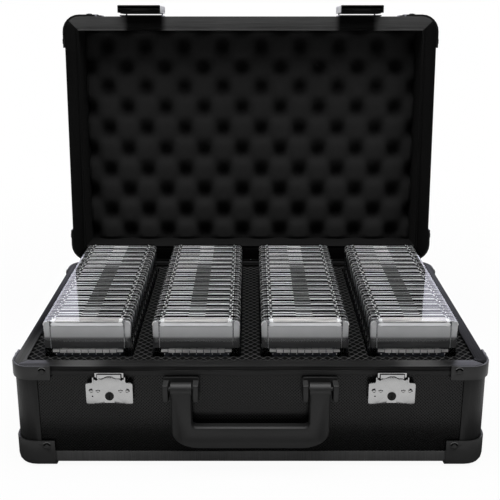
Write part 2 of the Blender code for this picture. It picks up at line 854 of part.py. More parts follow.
def handle_outline():
    """The handle's face: two arms and a grip, about its own pivot line."""
    half = handle_width / 2
    inner = half - handle_arm
    low = handle_pivot_depth - handle_bottom
    grip = low + grip_height
    small = handle_inner_radius
    points = [(inner, 0), (inner, grip + small)]
    points += arc_points((inner - small, grip + small), small, 0, -math.pi / 2, 2)[1:]
    points += [(-x, y) for x, y in reversed(points)]
    points += [(-half, 0)]
    reach, rise = handle_corner_reach, handle_corner_rise
    bend = arc_points((0, 0), 1, math.pi, 1.5 * math.pi, handle_corner_steps)
    points += [(-half + reach * (1 + x), low + rise * (1 + y)) for x, y in bend]
    points += [(half - reach * (1 + x), low + rise * (1 + y)) for x, y in reversed(bend)]
    points += [(half, 0)]
    return points


def build_handle(frame, material, bracket_material):
    """The carrying handle, hanging against the front, with its brackets and pins."""
    pivot = (0, -half_length - handle_stand, -handle_pivot_depth)
    arm_outer = handle_width / 2
    arm_inner = arm_outer - handle_arm
    bm = outline_bmesh([handle_outline()], handle_thickness / 2)
    bmesh.ops.recalc_face_normals(bm, faces=bm.faces)
    bmesh.ops.dissolve_limit(bm, angle_limit=math.radians(1), verts=bm.verts, edges=bm.edges)
    face = handle_thickness / 2 - weld_distance
    rims = [edge for edge in bm.edges if all(abs(v.co.z) > face for v in edge.verts)]
    rims = [e for e in rims if (e.verts[0].co.z > 0) == (e.verts[1].co.z > 0)]
    rims = [e for e in rims if any(v.co.y < -weld_distance for v in e.verts)]
    round_edges(bm, rims, handle_edge, 2)
    bmesh.ops.rotate(bm, verts=bm.verts, matrix=Matrix.Rotation(math.pi / 2, 3, "X"))
    handle = new_part("carrying_handle", bm, material, frame, pivot, smooth=True)
    for side, sign in (("left", -1), ("right", 1)):
        ends = sorted((sign * arm_inner, sign * arm_outer))
        bm = bmesh.new()
        add_rod(bm, hub_radius, (ends[0], 0, 0), (ends[1], 0, 0), hub_sides)
        boolean(handle, new_cutter(f"handle_hub_{side}", bm, handle), "UNION")
    bm = bmesh.new()
    reach = arm_outer + overrun
    add_rod(bm, handle_bore, (-reach, 0, 0), (reach, 0, 0), pin_sides)
    boolean(handle, new_cutter("handle_bore", bm, handle), "DIFFERENCE")
    inner_ear = arm_inner - bracket_inner_gap
    outer_ear = arm_outer + bracket_outer_gap
    back = panel_outer - seat_gap
    for side, sign in (("left", -1), ("right", 1)):
        name = f"{side}_handle_bracket"
        spans = {
            "plate": (inner_ear - bracket_ear, outer_ear + bracket_ear),
            "inner_ear": (inner_ear - bracket_ear, inner_ear),
            "outer_ear": (outer_ear, outer_ear + bracket_ear),
        }
        bodies = {}
        for label, span in spans.items():
            ends = sorted((sign * span[0], sign * span[1]))
            bm = bmesh.new()
            if label == "plate":
                low = (ends[0], -bracket_plate_front, -bracket_plate_bottom)
                add_box(bm, low, (ends[1], back, -bracket_plate_top))
                round_edges(bm, edges_along(bm, 1), bracket_edge)
            else:
                low = (ends[0], -bracket_ear_stand, -bracket_ear_bottom)
                add_box(bm, low, (ends[1], 0, -bracket_ear_top))
                front = [e for e in bm.edges if all(v.co.y < -skin for v in e.verts)]
                round_edges(bm, front, bracket_edge, 2)
            bodies[label] = bm
        place = (0, -half_length, 0)
        bracket = new_part(name, bodies["plate"], bracket_material, frame, place, smooth=True)
        for label in ("inner_ear", "outer_ear"):
            boolean(bracket, new_cutter(f"{name}_{label}", bodies[label], bracket), "UNION")
        ends = sorted((sign * (inner_ear - bracket_ear), sign * (outer_ear + bracket_ear)))
        line = (-handle_stand, -handle_pivot_depth)
        bm = bmesh.new()
        add_rod(bm, handle_pin_radius, (ends[0], *line), (ends[1], *line), pin_sides)
        boolean(bracket, new_cutter(f"{name}_pin", bm, bracket), "UNION")


def build_case():
    """Put the whole case together."""
    satin_black = new_material("satin_black_aluminium", (0.03, 0.03, 0.032), 0.6, 0.42)
    corner_black = new_material("black_steel_corner", (0.02, 0.02, 0.022), 0.5, 0.35)
    panel_black = new_material("embossed_black_panel", (0.018, 0.018, 0.019), 0.0, 0.5)
    foam_black = new_material("black_foam", (0.008, 0.008, 0.009), 0.0, 0.95)
    egg_foam = new_material("egg_crate_foam", (0.025, 0.025, 0.026), 0.0, 0.95)
    nickel = new_material("nickel_plate", (0.62, 0.62, 0.61), 1.0, 0.28)
    dark_steel = new_material("dark_steel", (0.12, 0.12, 0.12), 1.0, 0.4)
    plastic = new_material("black_handle_plastic", (0.02, 0.02, 0.021), 0.0, 0.45)
    clear = new_material("clear_slab", (0.85, 0.88, 0.9), 0.0, 0.1, 0.5)

    case = new_empty("case", (0, 0, 0))
    base = new_empty("base_frame", (0, 0, base_height), case)
    swing = new_empty(
        "lid_swing", (0, half_length + hinge_offset, hinge_rise), base, (-open_angle, 0, 0)
    )
    turned_over = (0, -half_length - hinge_offset, lid_gap - hinge_rise)
    lid = new_empty("lid_frame", turned_over, swing, (math.pi, 0, 0))

    base_widths = {
        "front": base_rim_width,
        "rear": base_rim_width,
        "left": base_side_rim_width,
        "right": base_side_rim_width,
    }
    build_panels("base", base, base_floor_top, panel_black)
    build_frame("base", base, base_depth, base_widths, satin_black)
    build_corners("base", base, base_depth, corner_black)
    build_base_foam(base, foam_black)
    build_slabs(base, clear)
    build_panels("lid", lid, lid_floor_top, panel_black)
    build_frame("lid", lid, lid_depth, dict.fromkeys(base_widths, lid_rim_width), satin_black)
    build_corners("lid", lid, lid_depth, corner_black)
    build_lid_lining(lid, foam_black)
    build_lid_foam(lid, egg_foam)
    build_hinges(base, swing, corner_black, dark_steel)
    for side, sign in (("left", -1), ("right", 1)):
        build_strike(side, sign, base, nickel, dark_steel)
        build_lever(side, sign, lid, nickel, nickel)
    build_handle(base, plastic, plastic)
    return case


def middle(axis):
    """The middle of the whole case along one axis."""
    bpy.context.view_layer.update()
    graph = bpy.context.evaluated_depsgraph_get()
    found = []
    for thing in parts.objects:
        shaped = thing.evaluated_get(graph)
        found += [(shaped.matrix_world @ Vector(corner))[axis] for corner in shaped.bound_box]
    return (min(found) + max(found)) / 2


clear_scene()
parts = new_collection("graded_card_storage_case")
cutters = new_collection("cutters")
whole = build_case()
whole.location = (-middle(0), -middle(1), 0)
bpy.context.view_layer.update()
print(f"{len(parts.objects)} sub-parts, frame at {whole.location.y:.5f} m, rim plane at {base_height:.5f} m")
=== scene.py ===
# %% [markdown]
# # A graded card storage case
#
# An aluminium-framed case stands open: black embossed panels in a satin frame, black corner
# caps, nickel latches and a moulded handle. Inside, a foam block holds four rows of clear
# card slabs, and the lid is lined with egg-crate foam. The solid model gives every piece its
# place. This lesson gives each piece its finish, and makes the soft and clear pieces anew.

import json
import math

import bmesh
import bpy
from mathutils import Matrix, Vector


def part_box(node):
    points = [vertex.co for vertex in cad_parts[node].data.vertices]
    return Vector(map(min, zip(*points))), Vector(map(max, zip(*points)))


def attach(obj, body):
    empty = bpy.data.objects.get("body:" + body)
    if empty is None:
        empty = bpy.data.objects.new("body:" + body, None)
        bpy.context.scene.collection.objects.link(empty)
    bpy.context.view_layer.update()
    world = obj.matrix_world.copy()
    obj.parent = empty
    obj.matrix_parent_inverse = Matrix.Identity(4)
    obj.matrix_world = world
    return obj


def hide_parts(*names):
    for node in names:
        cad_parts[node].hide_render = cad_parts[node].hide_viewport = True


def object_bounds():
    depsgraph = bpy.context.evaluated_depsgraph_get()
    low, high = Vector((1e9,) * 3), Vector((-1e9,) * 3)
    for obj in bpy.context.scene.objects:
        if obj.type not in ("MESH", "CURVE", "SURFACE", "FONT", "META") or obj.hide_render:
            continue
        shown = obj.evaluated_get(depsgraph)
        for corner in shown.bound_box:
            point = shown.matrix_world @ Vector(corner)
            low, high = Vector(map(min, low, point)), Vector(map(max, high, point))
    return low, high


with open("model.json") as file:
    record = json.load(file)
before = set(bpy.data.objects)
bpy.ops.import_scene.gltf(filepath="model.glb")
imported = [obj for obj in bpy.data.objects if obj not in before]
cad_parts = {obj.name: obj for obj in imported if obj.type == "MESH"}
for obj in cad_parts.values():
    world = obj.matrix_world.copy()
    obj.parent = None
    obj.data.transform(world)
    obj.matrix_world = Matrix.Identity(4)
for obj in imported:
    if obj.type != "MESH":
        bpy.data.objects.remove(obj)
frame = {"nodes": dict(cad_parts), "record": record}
cad_box = [list(corner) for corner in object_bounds()]

# %% [markdown]
# ## The camera
#
# The photograph was taken from straight ahead and a little above, through a fairly long lens.
# The case's straight lines give the lens, the height and the tilt. The picture was cropped
# off-centre, and a small shift of the lens copies that without tilting the case's uprights.

# %% Place the camera
rim_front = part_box("base_front_rim")[0].y
rim_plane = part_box("base_front_rim")[1].z
camera_distance = 0.72953
camera_height = 0.3516
camera_tilt = 15.673

camera = bpy.data.objects.new("camera", bpy.data.cameras.new("camera"))
bpy.context.scene.collection.objects.link(camera)
camera.location = (0, rim_front - camera_distance, rim_plane + camera_height)
camera.rotation_euler = (math.radians(90 - camera_tilt), 0, 0)
camera.data.lens = 62.04
camera.data.sensor_width = 36
camera.data.shift_x = -0.0012
camera.data.shift_y = -0.0737
camera.data.clip_start = 0.01
bpy.context.scene.camera = camera
print("camera at", [round(value, 3) for value in camera.location])

# %% [markdown]
# ## Patterns as arithmetic
#
# Every finish here is a web of nodes. Building such a web by hand takes a line for each node and
# each link. A small class wraps a socket and gives it Python's operators, so a pattern of waves
# is written as a sum of waves, and one method adds any other node.

# %% A wrapper for sockets


class Wave:
    """A socket whose value changes over a surface. Python's operators add Math nodes to it."""

    def __init__(self, web, socket):
        self.web = web
        self.socket = socket

    def math(self, operation, *others):
        return self.web.node("ShaderNodeMath", {"operation": operation}, (self, *others))

    def __add__(self, other):
        return self.math("ADD", other)

    def __sub__(self, other):
        return self.math("SUBTRACT", other)

    def __rsub__(self, other):
        return self.web.node("ShaderNodeMath", {"operation": "SUBTRACT"}, (other, self))

    def __mul__(self, other):
        return self.math("MULTIPLY", other)

    def __truediv__(self, other):
        return self.math("DIVIDE", other)

    def __abs__(self):
        return self.math("ABSOLUTE")

    __radd__ = __add__
    __rmul__ = __mul__

    def cos(self):
        return self.math("COSINE")

    def fract(self):
        return self.math("FRACT")

    def most(self, other):
        return self.math("MAXIMUM", other)

    def ramp(self, low, high, start=0.0, end=1.0):
        """Run smoothly from start to end as the number goes from low to high."""
        settings = {"interpolation_type": "SMOOTHSTEP"}
        return self.web.node("ShaderNodeMapRange", settings, (self, low, high, start, end))


class Web:
    """A node tree, and the one method that adds nodes to it."""

    def __init__(self, tree):
        self.tree = tree

    def node(self, kind, settings=None, values=(), named=None, output=0):
        """Add a node: its settings first, then the values or links of its sockets."""
        made = self.tree.nodes.new(kind)
        for key, value in (settings or {}).items():
            setattr(made, key, value)
        for key, value in list(enumerate(values)) + list((named or {}).items()):
            self.link(value, made.inputs[key])
        return Wave(self, made.outputs[output])

    def link(self, value, socket):
        """Give a socket a link or a constant."""
        if isinstance(value, Wave):
            self.tree.links.new(value.socket, socket)
        else:
            socket.default_value = value

    def parts(self, vector):
        """The three numbers of a vector."""
        return [self.node("ShaderNodeSeparateXYZ", values=(vector,), output=n) for n in range(3)]

    def tint(self, share, low, high):
        """A colour between two, by a share."""
        named = {0: share, 6: low, 7: high}
        return self.node("ShaderNodeMix", {"data_type": "RGBA"}, named=named, output=2)


class Finish(Web):
    """A material's web, with the object's own coordinates and the patterns made from them."""

    def __init__(self, name):
        self.material = bpy.data.materials.new(name)
        self.material.use_nodes = True
        super().__init__(self.material.node_tree)
        self.shader = self.tree.nodes["Principled BSDF"]
        self.spot = self.node("ShaderNodeTexCoord", output="Object")
        self.axes = self.parts(self.spot)

    def set(self, **values):
        """Set or link the shader's own sockets."""
        for key, value in values.items():
            name = key.replace("_", " ").title().replace("Ior", "IOR")
            self.link(value, self.shader.inputs[name])
        return self

    def noise(self, scale, detail=3.0, roughness=0.5, stretch=None):
        """Cloudy noise, from 0 to 1. A stretch along the axes turns it into streaks."""
        spot = self.spot
        if stretch:
            spot = self.node("ShaderNodeMapping", named={"Vector": spot, "Scale": stretch})
        named = {"Vector": spot, "Scale": scale, "Detail": detail, "Roughness": roughness}
        return self.node("ShaderNodeTexNoise", named=named)

    def relief(self, height, distance, strength=1.0):
        """Bump the surface by a height between 0 and 1, times a distance in metres."""
        named = {"Strength": strength, "Distance": distance, "Height": height}
        return self.set(normal=self.node("ShaderNodeBump", named=named))


def grey(value, warmth=0.0):
    """A grey colour, a little warm or cool."""
    return (value * (1 + warmth), value, value * (1 - warmth), 1)


black, white = grey(0.0), grey(1.0)
print("socket wrapper ready")

# %% [markdown]
# ## Light and background
#
# The picture is a studio shot on white, lit by one wide soft lamp overhead. The room behind the
# camera is dark, which is why the lid's nickel latches look black there, while the lock strikes
# below reflect the pale floor. The world copies the room: white to the camera and through clear
# plastic, dark in front to a glossy surface, and dim to a matte one. Surfaces that face up mirror
# the pale violet wall behind the case wherever the open lid doesn't hide it, as in the photograph:
# the ends of the front rail and the outer ends of the slabs are lighter than their middles.

# %% Light the studio
cove_strength = 0.08
dark_strength = 0.02
wall_strength = 1.9
matte_strength = 0.25
pale_violet = (0.86, 0.86, 1.0, 1)

world = bpy.data.worlds.new("studio")
bpy.context.scene.world = world
world.use_nodes = True
room = Web(world.node_tree)
away, up = room.parts(room.node("ShaderNodeTexCoord", output="Generated"))[1:]
seen = room.node("ShaderNodeLightPath", output="Is Camera Ray")
through = room.node("ShaderNodeLightPath", output="Is Transmission Ray")
glossy = room.node("ShaderNodeLightPath", output="Is Glossy Ray")
cove = away.ramp(0.0, 0.6) * up.ramp(0.85, 0.5)
wall = glossy * away.ramp(0.76, 0.84) * up.ramp(0.54, 0.46)
mirrored = glossy * (cove * cove_strength + dark_strength) + wall * wall_strength
strength = seen.most(through).most(mirrored + (1 - glossy) * matte_strength)
background = world.node_tree.nodes["Background"]
room.link(strength, background.inputs["Strength"])
room.link(room.tint(wall, white, pale_violet), background.inputs["Color"])


def soft_lamp(name, place, aim, size, watts):
    """A large rectangular lamp that looks at a point."""
    lamp = bpy.data.lights.new(name, "AREA")
    lamp.shape = "RECTANGLE"
    lamp.size, lamp.size_y = size
    lamp.energy = watts
    holder = bpy.data.objects.new(name, lamp)
    holder.location = place
    holder.rotation_euler = (Vector(aim) - Vector(place)).to_track_quat("-Z", "Y").to_euler()
    bpy.context.scene.collection.objects.link(holder)


soft_lamp("overhead", place=(0, -0.35, 1.75), aim=(0, 0, 0.1), size=(1.7, 1.3), watts=32)

# %% Lay the floor
bpy.context.scene.view_settings.view_transform = "Standard"
floor_front = -1.6
floor_back = 6.0
floor_half = 6.0
floor_tone = 0.8
painted_shadow_tone = 0.04
base_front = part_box("base_front_panel")[0].y


def stage_material():
    """Pale floor that shows as white to the camera where it isn't in shadow.

    Shiny pieces mirror a painted shadow in it, dark close round the case, where its own shadow
    falls."""
    finish = Finish("pale_floor")
    low, high = cad_box
    beside = abs(finish.axes[0] - (low[0] + high[0]) / 2) - (high[0] - low[0]) / 2
    before = base_front - finish.axes[1]
    # Painted shadow: the floor is darker close round the case, for glossy rays only.
    painted_shadow = beside.most(before).ramp(0.070, 0.085, painted_shadow_tone, floor_tone)
    mirrored = finish.node("ShaderNodeLightPath", output="Is Glossy Ray")
    tone = mirrored * painted_shadow + (1 - mirrored) * floor_tone
    finish.set(base_color=finish.tint(tone, black, white), roughness=0.9)
    length = {"operation": "LENGTH"}
    far = finish.node("ShaderNodeVectorMath", length, (finish.spot,), output="Value")
    seen = finish.node("ShaderNodeLightPath", output="Is Camera Ray")
    matte = Wave(finish, finish.shader.outputs[0])
    glow = finish.node("ShaderNodeEmission", named={"Color": white, "Strength": 1.0})
    share = seen * far.ramp(0.3, 1.1, 0.95, 1.0)
    mixed = finish.node("ShaderNodeMixShader", values=(share, matte, glow))
    finish.link(mixed, finish.tree.nodes["Material Output"].inputs["Surface"])
    return finish.material


bm = bmesh.new()
bmesh.ops.create_grid(bm, x_segments=1, y_segments=1, size=floor_half)
for vertex in bm.verts:
    vertex.co.y = floor_back if vertex.co.y > 0 else floor_front
mesh = bpy.data.meshes.new("floor")
bm.to_mesh(mesh)
bm.free()
floor = bpy.data.objects.new("floor", mesh)
bpy.context.scene.collection.objects.link(floor)
mesh.materials.append(stage_material())
print("floor from y =", floor_front, "to", floor_back)

# %% [markdown]
# ## Satin black aluminium
#
# The frame rails are extruded aluminium under a black anodised skin: dark and softly shiny, with
# no bare metal to see. Very fine streaks run along an extrusion. A little cloudy noise in the
# roughness stands for handling, and keeps the long highlights from looking drawn by ruler.

# %% Mix the frame's finish
across_streaks = 1800.0
along_streaks = 20.0


def anodised(name, tone, along, shine=0.35):
    """Black anodised metal with fine streaks along one axis: 0 for X, 1 for Y, 2 for Z.

    The tone is a number, or a rule that makes one from the three coordinates."""
    finish = Finish(name)
    stretch = [across_streaks] * 3
    stretch[along] = along_streaks
    streaks = finish.noise(1.0, detail=1.0, stretch=stretch)
    clouds = finish.noise(18.0)
    level = tone(finish.axes) if callable(tone) else tone
    share = (0.3 + (streaks * 0.6 + clouds * 0.4) * 1.3) * level
    finish.set(base_color=finish.tint(share, black, white))
    finish.set(roughness=0.36 + clouds * 0.12, specular_ior_level=shine)
    return finish.relief(streaks, 0.00035, 0.8).material


print("streaks about", round(1000 / across_streaks, 2), "mm wide")

# %% [markdown]
# A rail isn't equally dark along its length, and the rules below paint that into its colour:
# painted reflections, painted highlights and painted shade. Each rule gives a rail's tone from
# the place on it, in metres, and two ramps with soft edges mark off a range of a coordinate.

# %% Rules for the rails' tones
# How much lighter a painted reflection of the backdrop makes a rim's end.
painted_end_reflection = 0.065
post_tone = 0.008
post_inner_x = (0.187, 0.185)
post_inner_y = (0.113, 0.111)
base_middle_y = -0.0409
latch_at = 0.1266


def between(axis, low, high, edge):
    """One inside a range of a coordinate and nothing outside it, with soft edges."""
    return axis.ramp(low - edge, low + edge) * axis.ramp(high + edge, high - edge)


def front_rim_tone(axes):
    """A painted reflection lightens the top near the corners, and painted shade darkens a groove
    in the skirt below the edge.
    """
    x, y, z = axes
    groove_shade = between(z, rim_plane - 0.0052, rim_plane - 0.0010, 0.0003)
    ends = between(abs(x), 0.142, 0.174, 0.012) * z.ramp(rim_plane - 0.0010, rim_plane - 0.0004)
    return (0.012 + ends * painted_end_reflection) * (1 - groove_shade)


def left_rim_tone(axes):
    """Lighter near the front corner, by a painted reflection of the backdrop."""
    return 0.004 + axes[1].ramp(-0.10, -0.17) * painted_end_reflection


def rear_rim_tone(axes):
    """Dark, with a painted highlight in a thin line along the hinge."""
    return 0.004 + between(axes[1], 0.1060, 0.1076, 0.0003) * 0.06


def lid_rim_tone(axes):
    """The open lid's top rail, painted lighter than the other rails for the overhead light it
    catches, with painted shadow under each of the two latches.
    """
    shade = abs(abs(axes[0]) - latch_at).ramp(0.0275, 0.0185)
    return 0.062 * (1 - shade)


def base_frame_tone(axes):
    """The bottom rails get a painted highlight that makes them lighter than the posts."""
    floor_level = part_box("base_lower_frame")[0].z
    side_rails = abs(axes[1] - base_middle_y).ramp(*post_inner_y)
    rails = abs(axes[0]).ramp(*post_inner_x).most(side_rails)
    return post_tone + axes[2].ramp(floor_level + 0.029, floor_level + 0.026) * rails * 0.044


def lid_frame_tone(axes):
    """The same painted highlight for the open lid, whose top lies at the back."""
    top_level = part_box("lid_upper_frame")[1].y
    rails = abs(axes[0]).ramp(*post_inner_x)
    return post_tone + axes[1].ramp(top_level - 0.029, top_level - 0.026) * rails * 0.037


frame_along_y = anodised("satin_black_side_rails", 0.0022, 1, shine=0.12)
frame_finishes = {
    "base_lower_frame": anodised("satin_black_base_frame", base_frame_tone, 2),
    "lid_upper_frame": anodised("satin_black_lid_frame", lid_frame_tone, 2),
}
rim_finishes = {
    "base_front": anodised("satin_black_front_rim", front_rim_tone, 0, shine=0.25),
    "base_rear": anodised("satin_black_rear_rim", rear_rim_tone, 0, shine=0.08),
    "base_left": anodised("satin_black_left_rim", left_rim_tone, 1, shine=0.03),
    "base_right": anodised("satin_black_right_rim", 0.004, 1, shine=0.03),
    "lid_front": anodised("satin_black_lid_rim", lid_rim_tone, 0, shine=0.10),
    "lid_rear": anodised("satin_black_lid_rear_rim", 0.0015, 0, shine=0.04),
    "lid_left": frame_along_y,
    "lid_right": frame_along_y,
}
print("frame finishes ready")

# %% [markdown]
# ## Embossed panels
#
# The wall panels wear a thin black skin, embossed with small dimples in staggered rows, about
# three millimetres apart. Two cosine waves multiplied give such a grid of dots by themselves:
# the product is high where both waves are, and again half a step on, where both are low. The
# pattern lies in the panel's own plane, so each pair of directions gets a finish of its own.

# %% Mix the panels' finish
dimple_step = 0.0031


def embossed(name, across, up):
    """Black embossed skin whose dimples lie in the plane of two axes, with painted shade in the
    dimples.
    """
    finish = Finish(name)
    turn = 2 * math.pi / dimple_step
    dots = (finish.axes[across] * turn).cos() * (finish.axes[up] * turn).cos()
    dents_and_shade = dots.ramp(0.15, 0.75)
    clouds = finish.noise(9.0)
    # Painted shade: the dimples are darker than the skin between them.
    finish.set(base_color=finish.tint(dents_and_shade, grey(0.0024), grey(0.0001)))
    finish.set(roughness=0.20 + dents_and_shade * 0.45 + clouds * 0.05, specular_ior_level=0.3)
    return finish.relief(1 - dents_and_shade, 0.00030, 0.6).material


panel_finishes = {
    "front": embossed("embossed_panel_front", 0, 2),
    "side": embossed("embossed_panel_side", 1, 2),
    "flat": embossed("embossed_panel_flat", 0, 1),
}
print("panel finishes ready")

# %% [markdown]
# ## Corner caps, nickel and moulded plastic
#
# The corner caps are pressed steel under semi-gloss black lacquer, with a fine orange-peel
# relief. The latches are plated in satin nickel: nearly even, pale and metallic, while their
# brushed sides scatter more light than they mirror. Pins and key cylinders are oil-black steel,
# and the long hinge is a dull black. The handle is matte moulded plastic with a very fine grain.

# %% Mix the finishes of the fittings


def lacquered(name, tone):
    """Semi-gloss black lacquer on pressed steel."""
    finish = Finish(name)
    peel = finish.noise(700.0, detail=1.0)
    clouds = finish.noise(30.0)
    finish.set(base_color=finish.tint(clouds, grey(tone * 0.7), grey(tone * 1.3)))
    finish.set(roughness=0.32 + clouds * 0.12, specular_ior_level=0.3)
    return finish.relief(peel, 0.00003, 0.5).material


def mottled(name, scale, low, high, roughness, spread=0.0, bump=0.0, **sockets):
    """A finish whose colour, roughness and relief all follow one cloudy noise."""
    finish = Finish(name)
    mottle = finish.noise(scale)
    finish.set(base_color=finish.tint(mottle, low, high), **sockets)
    finish.set(roughness=roughness + mottle * spread if spread else roughness)
    if bump:
        finish.relief(mottle, bump, 0.4)
    return finish.material


def moulded():
    """Matte black plastic with a fine moulded grain, with painted light making it a little paler
    low on the grip.
    """
    finish = Finish("moulded_black")
    grain = finish.noise(1400.0, detail=1.0)
    clouds = finish.noise(25.0)
    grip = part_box("carrying_handle")[0].z
    # Painted light: paler low on the grip, where it would lie in shade.
    painted_light_low = finish.axes[2].ramp(grip + 0.012, grip + 0.003)
    finish.set(base_color=finish.tint(clouds * 0.5 + painted_light_low, grey(0.006), grey(0.022)))
    finish.set(roughness=0.46 + grain * 0.1)
    return finish.relief(grain, 0.00004, 0.5).material


lacquer = lacquered("black_lacquer", 0.026)
# The lid's caps take a darker copy of the same lacquer, as painted shade.
lid_lacquer_shaded = lacquered("black_lacquer_shaded_lid", 0.006)
nickel_tones = grey(0.44, 0.003), grey(0.52, 0.003)
nickel = mottled("satin_nickel", 160.0, *nickel_tones, 0.15, 0.06, bump=0.00002, metallic=1.0)
brushed = mottled("brushed_nickel", 900.0, grey(0.55), grey(0.95), 0.5)
steel = mottled("oil_black_steel", 240.0, grey(0.008), grey(0.016), 0.35, 0.1, metallic=0.6)
plastic = moulded()
dull = {"specular_ior_level": 0.02}
hinge_black = mottled("dull_hinge_black", 500.0, grey(0.001), grey(0.002), 0.55, 0.1, **dull)
hinge_coat = lacquered("black_hinge_coat", 0.012)
# A pale crescent painted on each rivet seat's upper lip, as a highlight.
lip_highlight = anodised("rivet_seat_painted_highlight", 0.16, 0)
print("fitting finishes ready")

# %% [markdown]
# ## Dressing the solid pieces
#
# The solid model's metal pieces have the right shapes, but every edge on them is perfectly
# sharp, and a real pressed or extruded edge is a little round and catches the light. So each
# gets a dressed copy: its triangles are merged, flat faces are joined, sharp edges get a small
# bevel, and round faces are shaded smooth. The copy stands in for the node and rides with it.

# %% Helpers for plain shapes


def painted(verts, material):
    """Give the faces about some vertices a material; returns the vertices."""
    for face in {face for vertex in verts for face in vertex.link_faces}:
        face.material_index = material
    return verts


def block(bm, low, high, material=0):
    """A box between two corners; returns its vertices."""
    low, high = Vector(low), Vector(high)
    place = Matrix.Translation((low + high) / 2) @ Matrix.Diagonal((*(high - low), 1))
    return painted(bmesh.ops.create_cube(bm, size=1, matrix=place)["verts"], material)


def dome(bm, place, size, material=0):
    """A flattened ball, such as a rivet's head, half sunk in what it sits on."""
    matrix = Matrix.Translation(place) @ Matrix.Diagonal((*size, 1))
    ball = bmesh.ops.create_uvsphere(bm, u_segments=16, v_segments=8, radius=1, matrix=matrix)
    return painted(ball["verts"], material)


def sharp_edges(bm, degrees=38):
    """The edges where two faces meet at more than an angle."""
    limit = math.radians(degrees)
    return [e for e in bm.edges if len(e.link_faces) == 2 and e.calc_face_angle(0) > limit]


def round_off(bm, edges, width, segments=2, clamp=False):
    """Bevel some edges into small round ones."""
    bmesh.ops.bevel(
        bm,
        geom=edges,
        offset=width,
        segments=segments,
        profile=0.5,
        affect="EDGES",
        material=-1,
        clamp_overlap=clamp,
    )


print("shape helpers ready")

# %% A helper that finishes a piece
behaviour = frame["record"]["behaviour"]
body_of_node = {node: body for body, nodes in behaviour["bodies"].items() for node in nodes}
slot_of_node = {entry["node"]: entry["material_slot"] for entry in frame["record"]["subparts"]}


def finish_piece(bm, name, materials, body, nodes=(), smooth=30):
    """Turn a bmesh into a piece that rides on a body, and may stand for nodes."""
    mesh = bpy.data.meshes.new(name)
    bm.to_mesh(mesh)
    bm.free()
    for material in materials:
        mesh.materials.append(material)
    piece = bpy.data.objects.new(name, mesh)
    bpy.context.scene.collection.objects.link(piece)
    if smooth:
        mesh.shade_smooth()
        mesh.set_sharp_from_angle(angle=math.radians(smooth))
    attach(piece, body)
    if nodes:
        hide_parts(*nodes)
    return piece


# %% Helpers that dress a node
merge_distance = 0.000005
flat_angle = math.radians(1)
crown_corners = 12
crown_area = (0.0000040, 0.0000048)
dressed = {}
rivets = []


def merged_copy(node):
    """A copy of a node's solid, its triangles merged and its flat faces joined."""
    bm = bmesh.new()
    bm.from_mesh(frame["nodes"][node].data)
    bmesh.ops.remove_doubles(bm, verts=bm.verts, dist=merge_distance)
    bmesh.ops.dissolve_limit(bm, angle_limit=flat_angle, verts=bm.verts, edges=bm.edges)
    return bm


def dress(node, material, edge):
    """A copy of a node with small round edges. The crowns of its rivets are noted."""
    bm = merged_copy(node)
    least, most = crown_area
    for face in bm.faces:
        if len(face.verts) == crown_corners and least < face.calc_area() < most:
            rivets.append((node.split("_")[0], face.calc_center_median(), face.normal.copy()))
    if edge:
        round_off(bm, sharp_edges(bm), edge, clamp=True)
    body, slot = body_of_node[node], slot_of_node[node]
    dressed[node] = finish_piece(bm, f"{node}_dressed", [material], body, [node])
    return dressed[node]


print("rivet crowns are about", round(sum(crown_area) / 2 * 1e6, 1), "square millimetres")

# %% Helpers that dress the levers and the hinge leaves
flank_depth = 0.0004
edge_depth = 0.001
leaf_plates = []


def dress_lever(side):
    """A nickel lever with brushed flanks, a black front edge and dark steel inside."""
    lever = dress(f"{side}_latch_lever", nickel, edge=0.00015)
    for finish in (lacquer, brushed, steel):
        lever.data.materials.append(finish)
    low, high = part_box(f"{side}_latch_lever")
    for face in lever.data.polygons:
        flank = min(face.center.x - low.x, high.x - face.center.x) < flank_depth
        if face.normal.z > 0.9 and face.center.z > high.z - edge_depth:
            face.material_index = 1
        elif abs(face.normal.x) > 0.7 and flank:
            face.material_index = 2
        elif face.normal.z < 0.9:
            face.material_index = 3


def dress_leaf(side, tray, outward):
    """A hinge leaf, coated where it faces outward. The middle of its plate is noted."""
    leaf = dress(f"{side}_hinge_{tray}_leaf", hinge_black, edge=0)
    leaf.data.materials.append(hinge_coat)
    outer = [face for face in leaf.data.polygons if face.normal.dot(outward) > 0.3]
    for face in outer:
        face.material_index = 1
    plate = max(outer, key=lambda face: face.area)
    corners = [leaf.data.vertices[index].co for index in plate.vertices]
    middle = Vector([(min(axis) + max(axis)) / 2 for axis in zip(*corners)])
    leaf_plates.append((tray, middle, plate.normal.copy()))


print("lever and leaf helpers ready")

# %% Dress the frame, the caps and the fittings
skins = {"base": lacquer, "lid": lid_lacquer_shaded}
for tray, skin in skins.items():
    for side in ("front", "rear"):
        dress(f"{tray}_{side}_rim", rim_finishes[f"{tray}_{side}"], edge=0.0005)
        for kind, edge in (("corner_cap", 0.0004), ("rim_corner", 0.0003)):
            for hand in ("left", "right"):
                dress(f"{tray}_{side}_{hand}_{kind}", skin, edge)
    for side in ("left", "right"):
        dress(f"{tray}_{side}_rim", rim_finishes[f"{tray}_{side}"], edge=0.0005)
for node, finish in frame_finishes.items():
    dress(node, finish, edge=0.0002)
for side in ("left", "right"):
    dress(f"{side}_key_cylinder", steel, edge=0.00015)
    dress(f"{side}_handle_bracket", plastic, edge=0.0003)
    dress(f"{side}_latch_plate", steel, edge=0.00015)
    dress_lever(side)
    dress(f"{side}_hinge_pin", hinge_black, edge=0)
    dress_leaf(side, "base", Vector((0, 1, 0)))
    dress_leaf(side, "lid", Vector((0, 0, -1)))
dress("carrying_handle", plastic, edge=0)
print(len(dressed), "nodes dressed;", len(rivets), "rivets found")

